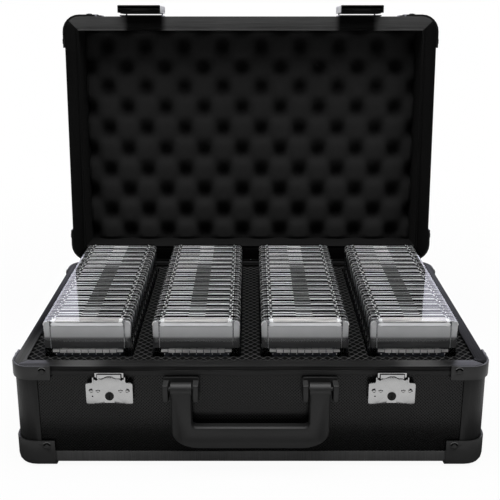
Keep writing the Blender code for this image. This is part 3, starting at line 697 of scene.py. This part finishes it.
# %% [markdown]
# ## Rivet heads
#
# While the caps were dressed, every twelve-sided crown was noted, since that is the top of a
# rivet. Each rivet now gets its real head: a low lacquered dome in a dented seat. A black crescent
# in the dent's far side is painted shade, and a pale crescent on its upper lip is a painted
# highlight.

# %% Make the rivet heads
head_size = (0.0034, 0.0010, 0.00204)
head_drop = 0.0012
crown_height = 0.0008
dent_height = 0.0004
ring_depth = 0.0004


def crescent(bm, matrix, inner, outer, start, sweep, material):
    """Part of a flat ring between two radii, swept from a start; both angles in degrees."""
    turn = math.radians(start)
    profile = [(inner, 0.0), (outer, 0.0), (outer, ring_depth), (inner, ring_depth)]
    corners = [(r * math.cos(turn), depth, r * math.sin(turn)) for r, depth in profile]
    face = bm.faces.new([bm.verts.new(corner) for corner in corners])
    known = set(bm.faces)
    angle = math.radians(sweep)
    bmesh.ops.spin(bm, geom=[face], cent=(0, 0, 0), axis=(0, -1, 0), angle=angle, steps=8)
    made = [f for f in bm.faces if f not in known] + [face]
    verts = painted(list({v for f in made for v in f.verts}), material)
    bmesh.ops.transform(bm, matrix=matrix, verts=verts)


for tray, skin in skins.items():
    bm = bmesh.new()
    for owner, place, normal in rivets:
        if owner != tray:
            continue
        up = Vector((0, 0, 1)) if abs(normal.z) < 0.7 else Vector((0, -1, 0))
        side = (-normal).cross(up).normalized()
        turn = Matrix((side, -normal, side.cross(-normal))).transposed().to_4x4()
        seat = Matrix.Translation(place - normal * crown_height) @ turn
        head = dome(bm, (0, 0, -head_drop), head_size)
        bmesh.ops.transform(bm, matrix=seat, verts=head)
        dent = Matrix.Translation(normal * dent_height) @ seat
        # Painted shade in the dent's far side, and a painted highlight on its upper lip.
        crescent(bm, dent, 0.0004, 0.0037, start=12, sweep=156, material=1)
        crescent(bm, dent, 0.0037, 0.0042, start=35, sweep=110, material=2)
    layers = [skin, hinge_black, lip_highlight]
    finish_piece(bm, f"{tray}_rivet_heads", layers, tray)
print("rivet heads made")

# %% [markdown]
# ## Lock strikes
#
# A lock strike is one pressed plate. A round hump in its top edge stands before the hook, two
# ears guide the lever, and a notch is cut from its lower edge. The plate starts as one outline
# with a hole for the key, filled and given a thickness, and the hook, the ears and the folded
# sides are slim bars behind it. Rivet heads are pressed into it, with dark crescents of painted
# shade in their countersinks.

# %% Make the strikes' plate
strike_right_half = [
    # x and z in millimetres: the lower edge, the side, the step under the ear and the hook's arm,
    # and the hump
    (4.3, -35.0), (4.7, -35.5), (13.5, -35.5), (14.3, -36.1), (16.0, -36.4), (20.3, -36.4),
    (21.7, -35.0), (21.7, -16.6), (21.1, -15.1), (19.6, -14.5), (16.4, -14.5),
    (15.5, -13.7), (15.0, -12.4), (14.7, -11.0), (12.9, -10.8), (12.6, -11.7),
    (11.4, -12.0), (10.4, -11.3), (10.0, -10.8),
    (6.6, -10.8), (5.0, -10.2), (3.3, -9.2), (1.6, -8.6),
]
hump_top = (0.0, -0.0084)
plate_front = -0.0055
plate_thickness = 0.0012
key_hole = 0.0041
key_drop = -0.0281


def strike_outline():
    """The plate's outline from the front: down its left half, up its right, to the hump's top."""
    right = [(x / 1000, z / 1000) for x, z in strike_right_half]
    return [(-x, z) for x, z in reversed(right)] + right + [hump_top]


def strike_plate(bm):
    """The pressed plate with its key hole."""
    turn = [2 * math.pi * step / 20 for step in range(20)]
    hole = [(key_hole * math.cos(a), key_drop + key_hole * math.sin(a)) for a in turn]
    edges = []
    for loop in (strike_outline(), hole):
        verts = [bm.verts.new((x, plate_front, z)) for x, z in loop]
        edges += [bm.edges.new((verts[n - 1], verts[n])) for n in range(len(verts))]
    filled = bmesh.ops.triangle_fill(bm, edges=edges, use_beauty=True, normal=(0, -1, 0))["geom"]
    faces = [item for item in filled if isinstance(item, bmesh.types.BMFace)]
    grown = bmesh.ops.extrude_face_region(bm, geom=faces)["geom"]
    back = [item for item in grown if isinstance(item, bmesh.types.BMVert)]
    bmesh.ops.translate(bm, verts=back, vec=(0, plate_thickness, 0))
    bmesh.ops.recalc_face_normals(bm, faces=bm.faces)
    round_off(bm, sharp_edges(bm, 60), 0.0003)


print("strike outline has", len(strike_outline()), "corners")

# %% Make the lock strikes
folded = plate_front + plate_thickness
rivet_x, rivet_z = 0.0165, -0.0227
screw_x = 0.01045
side_bars = [
    # from and to: the folded side, the ear and the hook's arm, on the right
    ((0.0207, folded, -0.0340), (0.0217, -0.0008, -0.0165)),
    ((0.0141, -0.0060, -0.0150), (0.0152, -0.0001, -0.0089)),
    ((0.0117, -0.0030, -0.0105), (0.0133, -0.0002, -0.0066)),
]
middle_bars = [
    # the folded lower edge, the web behind the hump and the hook's bar
    ((-0.0200, folded, -0.0352), (0.0200, -0.0008, -0.0342)),
    ((-0.0108, -0.0044, -0.0118), (0.0108, -0.0036, -0.0069)),
    ((-0.0133, -0.0030, -0.0066), (0.0133, -0.0020, -0.0057)),
]


def strike_side(bm, end):
    """The bars, rivet and screw at one end of a strike: -1 for left, 1 for right."""
    for low, high in side_bars:
        left, right = sorted((end * low[0], end * high[0]))
        block(bm, (left, *low[1:]), (right, *high[1:]))
    dome(bm, (end * rivet_x, plate_front, rivet_z), (0.0017, 0.0006, 0.0017))
    dome(bm, (end * screw_x, plate_front, -0.0228), (0.0015, 0.0005, 0.0015))
    for slot in (-0.0016, 0.0016):
        dome(bm, (end * screw_x + slot, plate_front, -0.0224), (0.00055, 0.0003, 0.0006), 1)


for side in ("left", "right"):
    low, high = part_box(f"{side}_lock_strike")
    bm = bmesh.new()
    strike_plate(bm)
    for end in (-1, 1):
        strike_side(bm, end)
    for corners in middle_bars:
        block(bm, *corners)
    dome(bm, (-0.0156, plate_front, key_drop), (0.0008, 0.0003, 0.0007), 1)
    # Painted shade: a dark crescent in each rivet's countersink.
    for end, start in ((-1, 60), (1, -20)):
        shaded_sink = Matrix.Translation((end * rivet_x, plate_front - 0.00015, rivet_z))
        crescent(bm, shaded_sink, 0.0013, 0.0025, start, sweep=120, material=1)
    origin = Vector(((low.x + high.x) / 2, low.y + 0.0060, low.z + 0.0364))
    bmesh.ops.translate(bm, verts=bm.verts, vec=origin)
    name = f"{side}_lock_strike"
    finish_piece(bm, f"{name}_pressed", [nickel, steel], "base", [name])
print("two lock strikes made")

# %% [markdown]
# ## Inside the lever latches
#
# Seen from the front, a raised lever shows its open end, which is dark inside. A dark block with
# a ridge fills that part of each lever and stands in for the shade in its hollow. The lid stands a
# little past upright, and its levers lean back with it.

# %% Make the levers' dark fills
lid_opening = 94
lid_lean = Matrix.Rotation(math.radians(90 - lid_opening), 4, "X")
dark_fill_half = 0.0233
for side in ("left", "right"):
    low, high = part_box(f"{side}_latch_lever")
    bm = bmesh.new()
    # A dark block standing in for the shade inside the lever's hollow.
    block(bm, (-dark_fill_half, 0.0120, -0.0093), (dark_fill_half, 0.0440, -0.0014))
    block(bm, (-dark_fill_half, 0.0120, -0.0016), (dark_fill_half, 0.0440, -0.0006))
    block(bm, (-dark_fill_half, 0.0100, -0.0058), (dark_fill_half, 0.0120, -0.0052))
    front = Matrix.Translation(((low.x + high.x) / 2, low.y, high.z))
    bmesh.ops.transform(bm, verts=bm.verts, matrix=front @ lid_lean)
    finish_piece(bm, f"{side}_lever_dark_fill", [steel], f"{side}_lever")
print("dark lever fills made; lever box", [round(v, 4) for v in (*low, *high)])

# %% [markdown]
# ## The long hinge
#
# The hinge comes in two lengths that meet in the middle. A washer closes the hair of air between
# their knuckles, and a thin filler closes it between their leaves. A row of low round heads
# rivets each leaf to its wall.

# %% Close the hair of air between the two lengths
joint = next(joint for joint in behaviour["joints"] if joint["name"] == "lid_hinge")
hinge_point = Vector(joint["pos_m"])
knuckle_radius = 0.0042
hair = 0.0003
inset = 0.0002

bm = bmesh.new()
middle = Matrix.Translation((0, hinge_point.y, hinge_point.z))
bmesh.ops.create_cone(
    bm,
    cap_ends=True,
    segments=24,
    radius1=knuckle_radius,
    radius2=knuckle_radius,
    depth=hair,
    matrix=middle @ Matrix.Rotation(math.pi / 2, 4, "Y"),
)
finish_piece(bm, "hinge_middle_washer", [hinge_black], "base")
for tray in ("base", "lid"):
    low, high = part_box(f"left_hinge_{tray}_leaf")
    bm = bmesh.new()
    block(bm, (-hair, low.y + inset, low.z + inset), (hair, high.y - inset, high.z - inset))
    finish_piece(bm, f"hinge_{tray}_joint", [hinge_black], tray)
print("hinge axis at", [round(value, 4) for value in hinge_point])

# %% Rivet the hinge's leaves to the walls
leaf_rivets = 6
leaf_rivet_step = 0.031
for tray in ("base", "lid"):
    bm = bmesh.new()
    for owner, centre, normal in leaf_plates:
        if owner != tray:
            continue
        turn = normal.to_track_quat("Z", "X").to_matrix().to_4x4()
        for number in range(leaf_rivets):
            head = dome(bm, (0, 0, 0), (0.0030, 0.0030, 0.0008))
            shift = (number - (leaf_rivets - 1) / 2) * leaf_rivet_step
            spot = Matrix.Translation(centre + Vector((shift, 0, 0)))
            bmesh.ops.transform(bm, matrix=spot @ turn, verts=head)
    finish_piece(bm, f"hinge_{tray}_rivets", [hinge_coat], tray)
print(len(leaf_plates), "hinge leaves riveted")

# %% [markdown]
# ## The panels
#
# The panels keep their solids, since the frame hides every edge of them. Each one only takes the
# embossed skin that lies in its plane.

# %% Give the panels their skins
panel_skins = {"base_floor": "flat", "lid_top": "front"}
for side in ("front", "rear"):
    panel_skins[f"base_{side}"] = "front"
    panel_skins[f"lid_{side}"] = "flat"
for side in ("left", "right"):
    panel_skins[f"base_{side}"] = "side"
    panel_skins[f"lid_{side}"] = "side"
for name, key in panel_skins.items():
    node = frame["nodes"][f"{name}_panel"]
    node.data.materials.clear()
    node.data.materials.append(panel_finishes[key])
print(len(panel_skins), "panels skinned")

# %% [markdown]
# ## Foam
#
# The base is filled by a block of black foam whose top is embossed like fish scales: wavy
# ridges in staggered rows. The relief is too fine to model, so it is a pattern of waves in
# the material. The lid has egg-crate foam, and there the dimples are deep enough to model.

# %% Mix the foams' finishes
scale_width = 0.0081
scale_height = 0.0046


def scaled_foam():
    """Black foam embossed with rows of scales. The ridges weave between the rows, painted lighter
    than the grooves as painted light and shade.
    """
    finish = Finish("scaled_black_foam")
    weave = (finish.axes[0] * (2 * math.pi / scale_width)).cos() * 0.42
    lines = finish.axes[1] / scale_height
    even = abs(((lines - weave) * 0.5).fract() - 0.5)
    odd = abs(((lines + weave + 1.0) * 0.5).fract() - 0.5)
    lit_ridges = even.most(odd).ramp(0.39, 0.5)
    pores = finish.noise(900.0, detail=2.0)
    # Painted light and shade: the ridges are light and the grooves nearly black.
    finish.set(base_color=finish.tint(lit_ridges, grey(0.001), grey(0.085)))
    finish.set(roughness=0.85, specular_ior_level=0.08)
    return finish.relief(lit_ridges + pores * 0.15, 0.0007, 0.8).material


def porous_foam(name, tone, dip_shade_layer=None):
    """Plain charcoal foam with open pores, with painted shade in the dips if their depth is
    stored.
    """
    finish = Finish(name)
    pores = finish.noise(1100.0, roughness=0.7)
    clouds = finish.noise(14.0)
    share = (0.6 + (pores * 0.6 + clouds * 0.4) * 0.8) * tone
    if dip_shade_layer:
        stored = finish.node("ShaderNodeAttribute", {"attribute_name": dip_shade_layer}, output="Fac")
        share = share * stored.ramp(0.1, 0.9, 1.0, 0.35)
    finish.set(base_color=finish.tint(share, black, white))
    finish.set(roughness=0.95, specular_ior_level=0.15)
    return finish.relief(pores, 0.0003, 0.6).material


scale_foam = scaled_foam()
egg_foam = porous_foam("charcoal_egg_foam", 0.017, dip_shade_layer="dip")
lining_foam = porous_foam("black_lining_foam", 0.008)
print("foam finishes ready")

# %% Make the base's foam block and the lid's lining
foam_edge = 0.0008


def dressed_foam(node, material):
    """A copy of a foam solid with soft edges."""
    bm = merged_copy(node)
    round_off(bm, sharp_edges(bm), foam_edge, segments=3)
    body, slot = body_of_node[node], slot_of_node[node]
    return finish_piece(bm, f"{node}_soft", [material], body, [node])


base_block = dressed_foam("base_foam", scale_foam)
lining = dressed_foam("lid_lining", lining_foam)
print("foam block", [round(value, 3) for value in base_block.dimensions])

# %% Make the lid's egg-crate foam
lid_turn = Matrix.Rotation(math.radians(-lid_opening), 3, "X") @ Matrix.Rotation(math.pi, 3, "X")
middle_from_hinge = 0.149 + 0.0026
rim_gap = 0.00015
foam_half = Vector((0.2056, 0.1321))
peak_depth = 0.0378
back_depth = 0.0632
dimple_deep = 0.0150
dimple_narrow = 2.6
crate_steps = (0.0483, 0.0533)
crate_peaks = (0.0135, -0.0445)
border_width = 0.004
border_drop = 0.002


def lid_place(x, y, depth):
    """A point of the open lid, where y runs from the hinge side to the latch side."""
    local = Vector((x, y + middle_from_hinge, rim_gap - depth))
    return lid_turn @ local + hinge_point


bm = bmesh.new()
# Each vertex keeps its dimple's depth, which the foam's finish turns into painted shade.
shade = bm.verts.layers.float.new("dip")
bmesh.ops.create_grid(bm, x_segments=132, y_segments=84, size=1)
for vertex in bm.verts:
    x = vertex.co.x * foam_half.x
    y = vertex.co.y * foam_half.y
    wave_x, wave_y = (
        math.cos(2 * math.pi * (value - peak) / step)
        for value, peak, step in zip((x, y), crate_peaks, crate_steps)
    )
    dip = ((1 + wave_x * wave_y) / 2) ** dimple_narrow
    vertex[shade] = dip
    inside = min(foam_half.x - abs(x), foam_half.y - abs(y), border_width) / border_width
    vertex.co = (x, y, -(peak_depth + dimple_deep * dip + border_drop * (1 - inside) ** 2))
border = [edge for edge in bm.edges if edge.is_boundary]
grown = bmesh.ops.extrude_edge_only(bm, edges=border)["geom"]
for vertex in (item for item in grown if isinstance(item, bmesh.types.BMVert)):
    vertex.co.z = -back_depth
bmesh.ops.contextual_create(bm, geom=[edge for edge in bm.edges if edge.is_boundary])
for vertex in bm.verts:
    vertex.co = lid_place(vertex.co.x, vertex.co.y, -vertex.co.z)
bmesh.ops.recalc_face_normals(bm, faces=bm.faces)
name, slot = "lid_egg_crate_foam", "egg_crate_foam"
egg_crate = finish_piece(bm, name, [egg_foam], "lid", ["lid_foam"])
print("egg-crate foam", [round(value, 3) for value in egg_crate.dimensions])

# %% [markdown]
# ## Clear card slabs
#
# Each slab is two thick clear shells welded face to face round a label and a card. From above,
# the ledges inside the shells show as light bands with dark clear plastic between them, and the
# weld posts near the upper corners are whitish. The shells are real clear blocks with round
# corners here. The ledges, posts, label, card and the ribbed bar under the label sit in them.
# The ledges' light bands, the corners' light arcs and a faint haze are painted highlights on pale
# strips, and the grey top of the label and the side panes is a painted reflection.

# %% Mix the slabs' finishes
moulding_streaks = (25.0, 160.0, 60.0)


def clear_plastic():
    """Clear polished plastic."""
    finish = Finish("clear_plastic")
    finish.set(base_color=(0.97, 0.98, 1.0, 1), roughness=0.03, ior=1.45, transmission_weight=1.0)
    return finish.material


def label_with_painted_reflection(low, high):
    """A plain printed label, with a painted reflection of the floor that runs from grey at the top
    to black.
    """
    finish = Finish("slab_label_painted_reflection")
    height = finish.axes[2]
    rise = high - low
    # Painted reflection: grey at the top, fading to black lower down.
    painted_reflection = height.ramp(low + 0.42 * rise, low + 0.56 * rise) * 0.72
    painted_reflection = painted_reflection + height.ramp(low + 0.45 * rise, high) * 0.28
    grain = finish.noise(60.0)
    finish.set(base_color=finish.tint(painted_reflection * (0.9 + grain * 0.2), grey(0.02), grey(0.50)))
    return finish.set(roughness=0.5).material


def card_print():
    """A card's plain back, with a soft two-tone pattern."""
    finish = Finish("card_back")
    weave = (finish.axes[0] * 900.0).cos() * (finish.axes[2] * 900.0).cos()
    tones = (0.012, 0.014, 0.02, 1), (0.022, 0.026, 0.04, 1)
    finish.set(base_color=finish.tint(weave.ramp(-0.2, 0.6), *tones))
    return finish.set(roughness=0.5).material


def frosted_and_highlight(name, tone, least=0.45, warmth=0.0):
    """Whitish moulded plastic, lighter in some places than in others. On the ledges and corners it
    is a painted highlight.
    """
    finish = Finish(name)
    share = finish.noise(1.0, stretch=moulding_streaks).ramp(0.25, 0.75)
    finish.set(base_color=finish.tint(share, grey(tone * least, warmth), grey(tone, warmth)))
    return finish.set(roughness=0.3).material


def middle_ledge_highlight():
    """The ledges' middle third, a painted highlight that is duller half-way along a row than at
    its ends.
    """
    finish = Finish("middle_ledge_highlight")
    streaks = finish.noise(1.0, stretch=moulding_streaks)
    along = finish.axes[1]
    # Painted highlight, brighter towards both ends of a row.
    ends = along.ramp(-0.015, 0.025) + along.ramp(-0.10, -0.15) * 0.6
    finish.set(base_color=finish.tint(ends + streaks * 0.2, grey(0.12), white))
    return finish.set(roughness=0.3).material


label_low = rim_plane + 0.0050
label_high = label_low + 0.0224
clear = clear_plastic()
contents = [
    label_with_painted_reflection(label_low, label_high),
    card_print(),
    # The ledges' light bands and the faint haze are painted highlights; the weld posts and the
    # ribbed bar are the plastic's own colour.
    frosted_and_highlight("ledge_painted_highlight", 0.98, least=0.6),
    frosted_and_highlight("ledge_painted_highlight_dim", 0.42),
    frosted_and_highlight("weld_post", 1.0, least=0.85),
    middle_ledge_highlight(),
    frosted_and_highlight("corner_painted_haze", 0.16),
    frosted_and_highlight("ribbed_bar", 0.75, warmth=0.03),
]
label, card, bright_highlight, dim_highlight, post, middle_highlight, faint_highlight, ribbed = range(len(contents))
print(len(contents), "finishes inside the clear plastic")

# %% Make the clear shells
slab_rows = [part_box(f"slab_row_{number}") for number in (1, 2, 3, 4)]
slab_size = Vector((0.0836, 0.0137, 0.1275))
slab_step = 0.0140
slab_number = round((slab_rows[0][1].y - slab_rows[0][0].y - slab_size.y) / slab_step) + 1
shell_depth = 0.0067
corner_radius = 0.0032
same_place = 0.00001


def rounded_edges(verts, y, z):
    """The upright edges of a block at one depth, and its edges along Y at one height."""
    found = []
    for edge in {edge for vertex in verts for edge in vertex.link_edges}:
        first, second = (vertex.co for vertex in edge.verts)
        step = second - first
        upright = abs(step.z) > same_place and abs(first.y - y) < same_place
        upper = abs(step.y) > same_place and abs(first.z - z) < same_place
        if upright or upper:
            found.append(edge)
    return found


def slab_shells(bm, place):
    """Two clear half shells with round outer corners and a hair of air between them."""
    half = slab_size.x / 2
    top = place.z + slab_size.z
    for near, outer in ((0.0, 0.0), (slab_size.y - shell_depth, slab_size.y)):
        low = Vector((place.x - half, place.y + near, place.z))
        high = Vector((place.x + half, place.y + near + shell_depth, top))
        edges = rounded_edges(block(bm, low, high), place.y + outer, top)
        round_off(bm, edges, corner_radius)


def repeated(bm):
    """Copy everything in a bmesh along Y, once for each further slab of a row."""
    first = bm.verts[:] + bm.edges[:] + bm.faces[:]
    for number in range(1, slab_number):
        copy = bmesh.ops.duplicate(bm, geom=first)["geom"]
        moved = [item for item in copy if isinstance(item, bmesh.types.BMVert)]
        bmesh.ops.translate(bm, verts=moved, vec=(0, slab_step * number, 0))


print(slab_number, "slabs in a row")

# %% List what sits in a slab
ledge_plan = [
    # from x, to x, from y, to y (mm, from the slab's middle and its front), finish
    (-30.5, -8.0, 1.5, 3.7, bright_highlight),
    (-30.5, -8.0, 7.0, 9.4, bright_highlight),
    (8.0, 30.5, 1.5, 3.7, bright_highlight),
    (8.0, 30.5, 7.0, 9.4, dim_highlight),
    (-8.0, 8.0, 0.1, 2.4, middle_highlight),
    (-8.0, 8.0, 5.0, 8.0, middle_highlight),
    (-8.0, 8.0, 9.4, 11.4, faint_highlight),
]
end_plan = [
    # the same for one end, measured outwards
    (31.2, 32.8, 0.3, 1.6, bright_highlight),
    (31.2, 32.8, 10.0, 12.6, bright_highlight),
    (33.3, 34.8, 1.6, 3.8, bright_highlight),
    (33.3, 34.8, 7.6, 10.0, bright_highlight),
    (35.4, 37.2, 0.8, 4.0, dim_highlight),
    (35.4, 37.2, 5.8, 10.0, faint_highlight),
    (37.5, 39.2, 1.4, 3.6, dim_highlight),
    (37.5, 39.2, 5.8, 9.0, faint_highlight),
]
arc_plan = [
    # depth of a corner's painted highlight arc behind the slab's front, inner radius (mm), finish
    (0.3, 2.7, bright_highlight),
    (3.2, 2.9, faint_highlight),
    (7.2, 2.8, bright_highlight),
    (10.4, 2.9, dim_highlight),
]
arc_radius = 0.0036
bar_cells = 10
# in millimetres, as in the lists
bar_cell = 6.8
post_at = 31.9
print(len(ledge_plan) + 2 * len(end_plan), "ledges and", 2 * len(arc_plan), "arcs in a slab")

# %% Helpers for the slab's parts


def slab_part(bm, place, x_span, y_span, z_low, z_high, finish):
    """A box in a slab: spans in millimetres from its middle and its front, heights in metres."""
    left, right = sorted(place.x + value / 1000 for value in x_span)
    near, far = (place.y + value / 1000 for value in y_span)
    block(bm, (left, near, z_low), (right, far, z_high), finish)


def slab_end(bm, place, side):
    """The ledges' painted highlights, the weld post and the corner's painted highlight arcs at one
    end of a slab.
    """
    top = place.z + slab_size.z
    for near_x, far_x, near, far, finish in end_plan:
        x_span = (side * near_x, side * far_x)
        slab_part(bm, place, x_span, (near, far), top - 0.0010, top - 0.0004, finish)
    spot = place + Vector((side * post_at / 1000, 0.0018, slab_size.z - 0.0040))
    dome(bm, spot, (0.0026, 0.0012, 0.0019), post)
    x_span = (side * (post_at - 0.9), side * (post_at + 0.9))
    slab_part(bm, place, x_span, (0.8, 1.8), top - 0.0030, top - 0.0012, post)
    start = -12 if side > 0 else 72
    for depth, inner, finish in arc_plan:
        x = side * (slab_size.x / 2 - arc_radius)
        spot = place + Vector((x, depth / 1000, slab_size.z - arc_radius))
        arc = Matrix.Translation(spot)
        crescent(bm, arc, inner / 1000, arc_radius - 0.0002, start, sweep=120, material=finish)


def ribbed_bar(bm, place):
    """The ribbed bar under the label: a row of cells, a dim painted highlight line in it and teeth
    below.
    """
    half = bar_cells / 2 * bar_cell
    for cell in range(bar_cells):
        start = cell * bar_cell - half
        x_span = (start + 0.4, start + bar_cell - 0.4)
        less = 0.0008 if cell in (0, bar_cells - 1) else 0.0
        low, high = label_low - 0.0047 + less, label_low - 0.0008 - less
        slab_part(bm, place, x_span, (0.5, 2.0), low, high, ribbed)
    x_span = (0.5 - half, half - 0.5)
    slab_part(bm, place, x_span, (0.4, 2.1), label_low - 0.0014, label_low - 0.0009, dim_highlight)
    for tooth in range(-4, 5):
        x_span = (tooth * 7.6 - 0.4, tooth * 7.6 + 0.4)
        slab_part(bm, place, x_span, (0.5, 1.2), label_low - 0.0063, label_low - 0.0057, post)


def slab_inside(bm, place):
    """Everything inside one slab."""
    top = place.z + slab_size.z
    for left, right, near, far, finish in ledge_plan:
        slab_part(bm, place, (left, right), (near, far), top - 0.0010, top - 0.0004, finish)
    for side in (-1, 1):
        slab_end(bm, place, side)
    slab_part(bm, place, (-32.0, 32.0), (0.2, 0.7), top - 0.0048, top - 0.0018, post)
    slab_part(bm, place, (-34.5, 34.5), (1.2, 1.6), label_low, label_high, label)
    slab_part(bm, place, (-31.5, 31.5), (6.0, 6.4), place.z + 0.006, label_low - 0.006, card)
    ribbed_bar(bm, place)


def front_lights(bm, place):
    """What only a row's front slab shows: a painted highlight along its upper edge, posts, and
    side panes that carry the label's painted reflection.
    """
    top = place.z + slab_size.z
    slab_part(bm, place, (-30.5, 30.5), (0.1, 10.0), top - 0.0010, top - 0.0003, ribbed)
    for side in (-1, 1):
        x_span = (side * 34.8, side * 35.3)
        slab_part(bm, place, x_span, (0.8, 1.2), label_low, label_high, dim_highlight)
        x_span = (side * 35.8, side * 41.1)
        slab_part(bm, place, x_span, (2.2, 2.6), label_low, top - 0.0014, label)
        spot = place + Vector((side * 0.0312, 0.0048, slab_size.z - 0.0013))
        dome(bm, spot, (0.0029, 0.0046, 0.0011), post)


print("slab helpers ready")

# %% Build one slab and repeat it along each row
for number, (low, high) in enumerate(slab_rows, 1):
    place = Vector(((low.x + high.x) / 2, low.y, low.z))
    body, node = f"slabs_{number}", f"slab_row_{number}"
    bm = bmesh.new()
    slab_shells(bm, place)
    repeated(bm)
    finish_piece(bm, f"slab_shells_{number}", [clear], body, [node], smooth=0)
    bm = bmesh.new()
    slab_inside(bm, place)
    repeated(bm)
    front_lights(bm, place)
    finish_piece(bm, f"slab_contents_{number}", contents, body)
print("four rows of slabs made")

# %% Print the solid model's box
print("CAD box", cad_box)
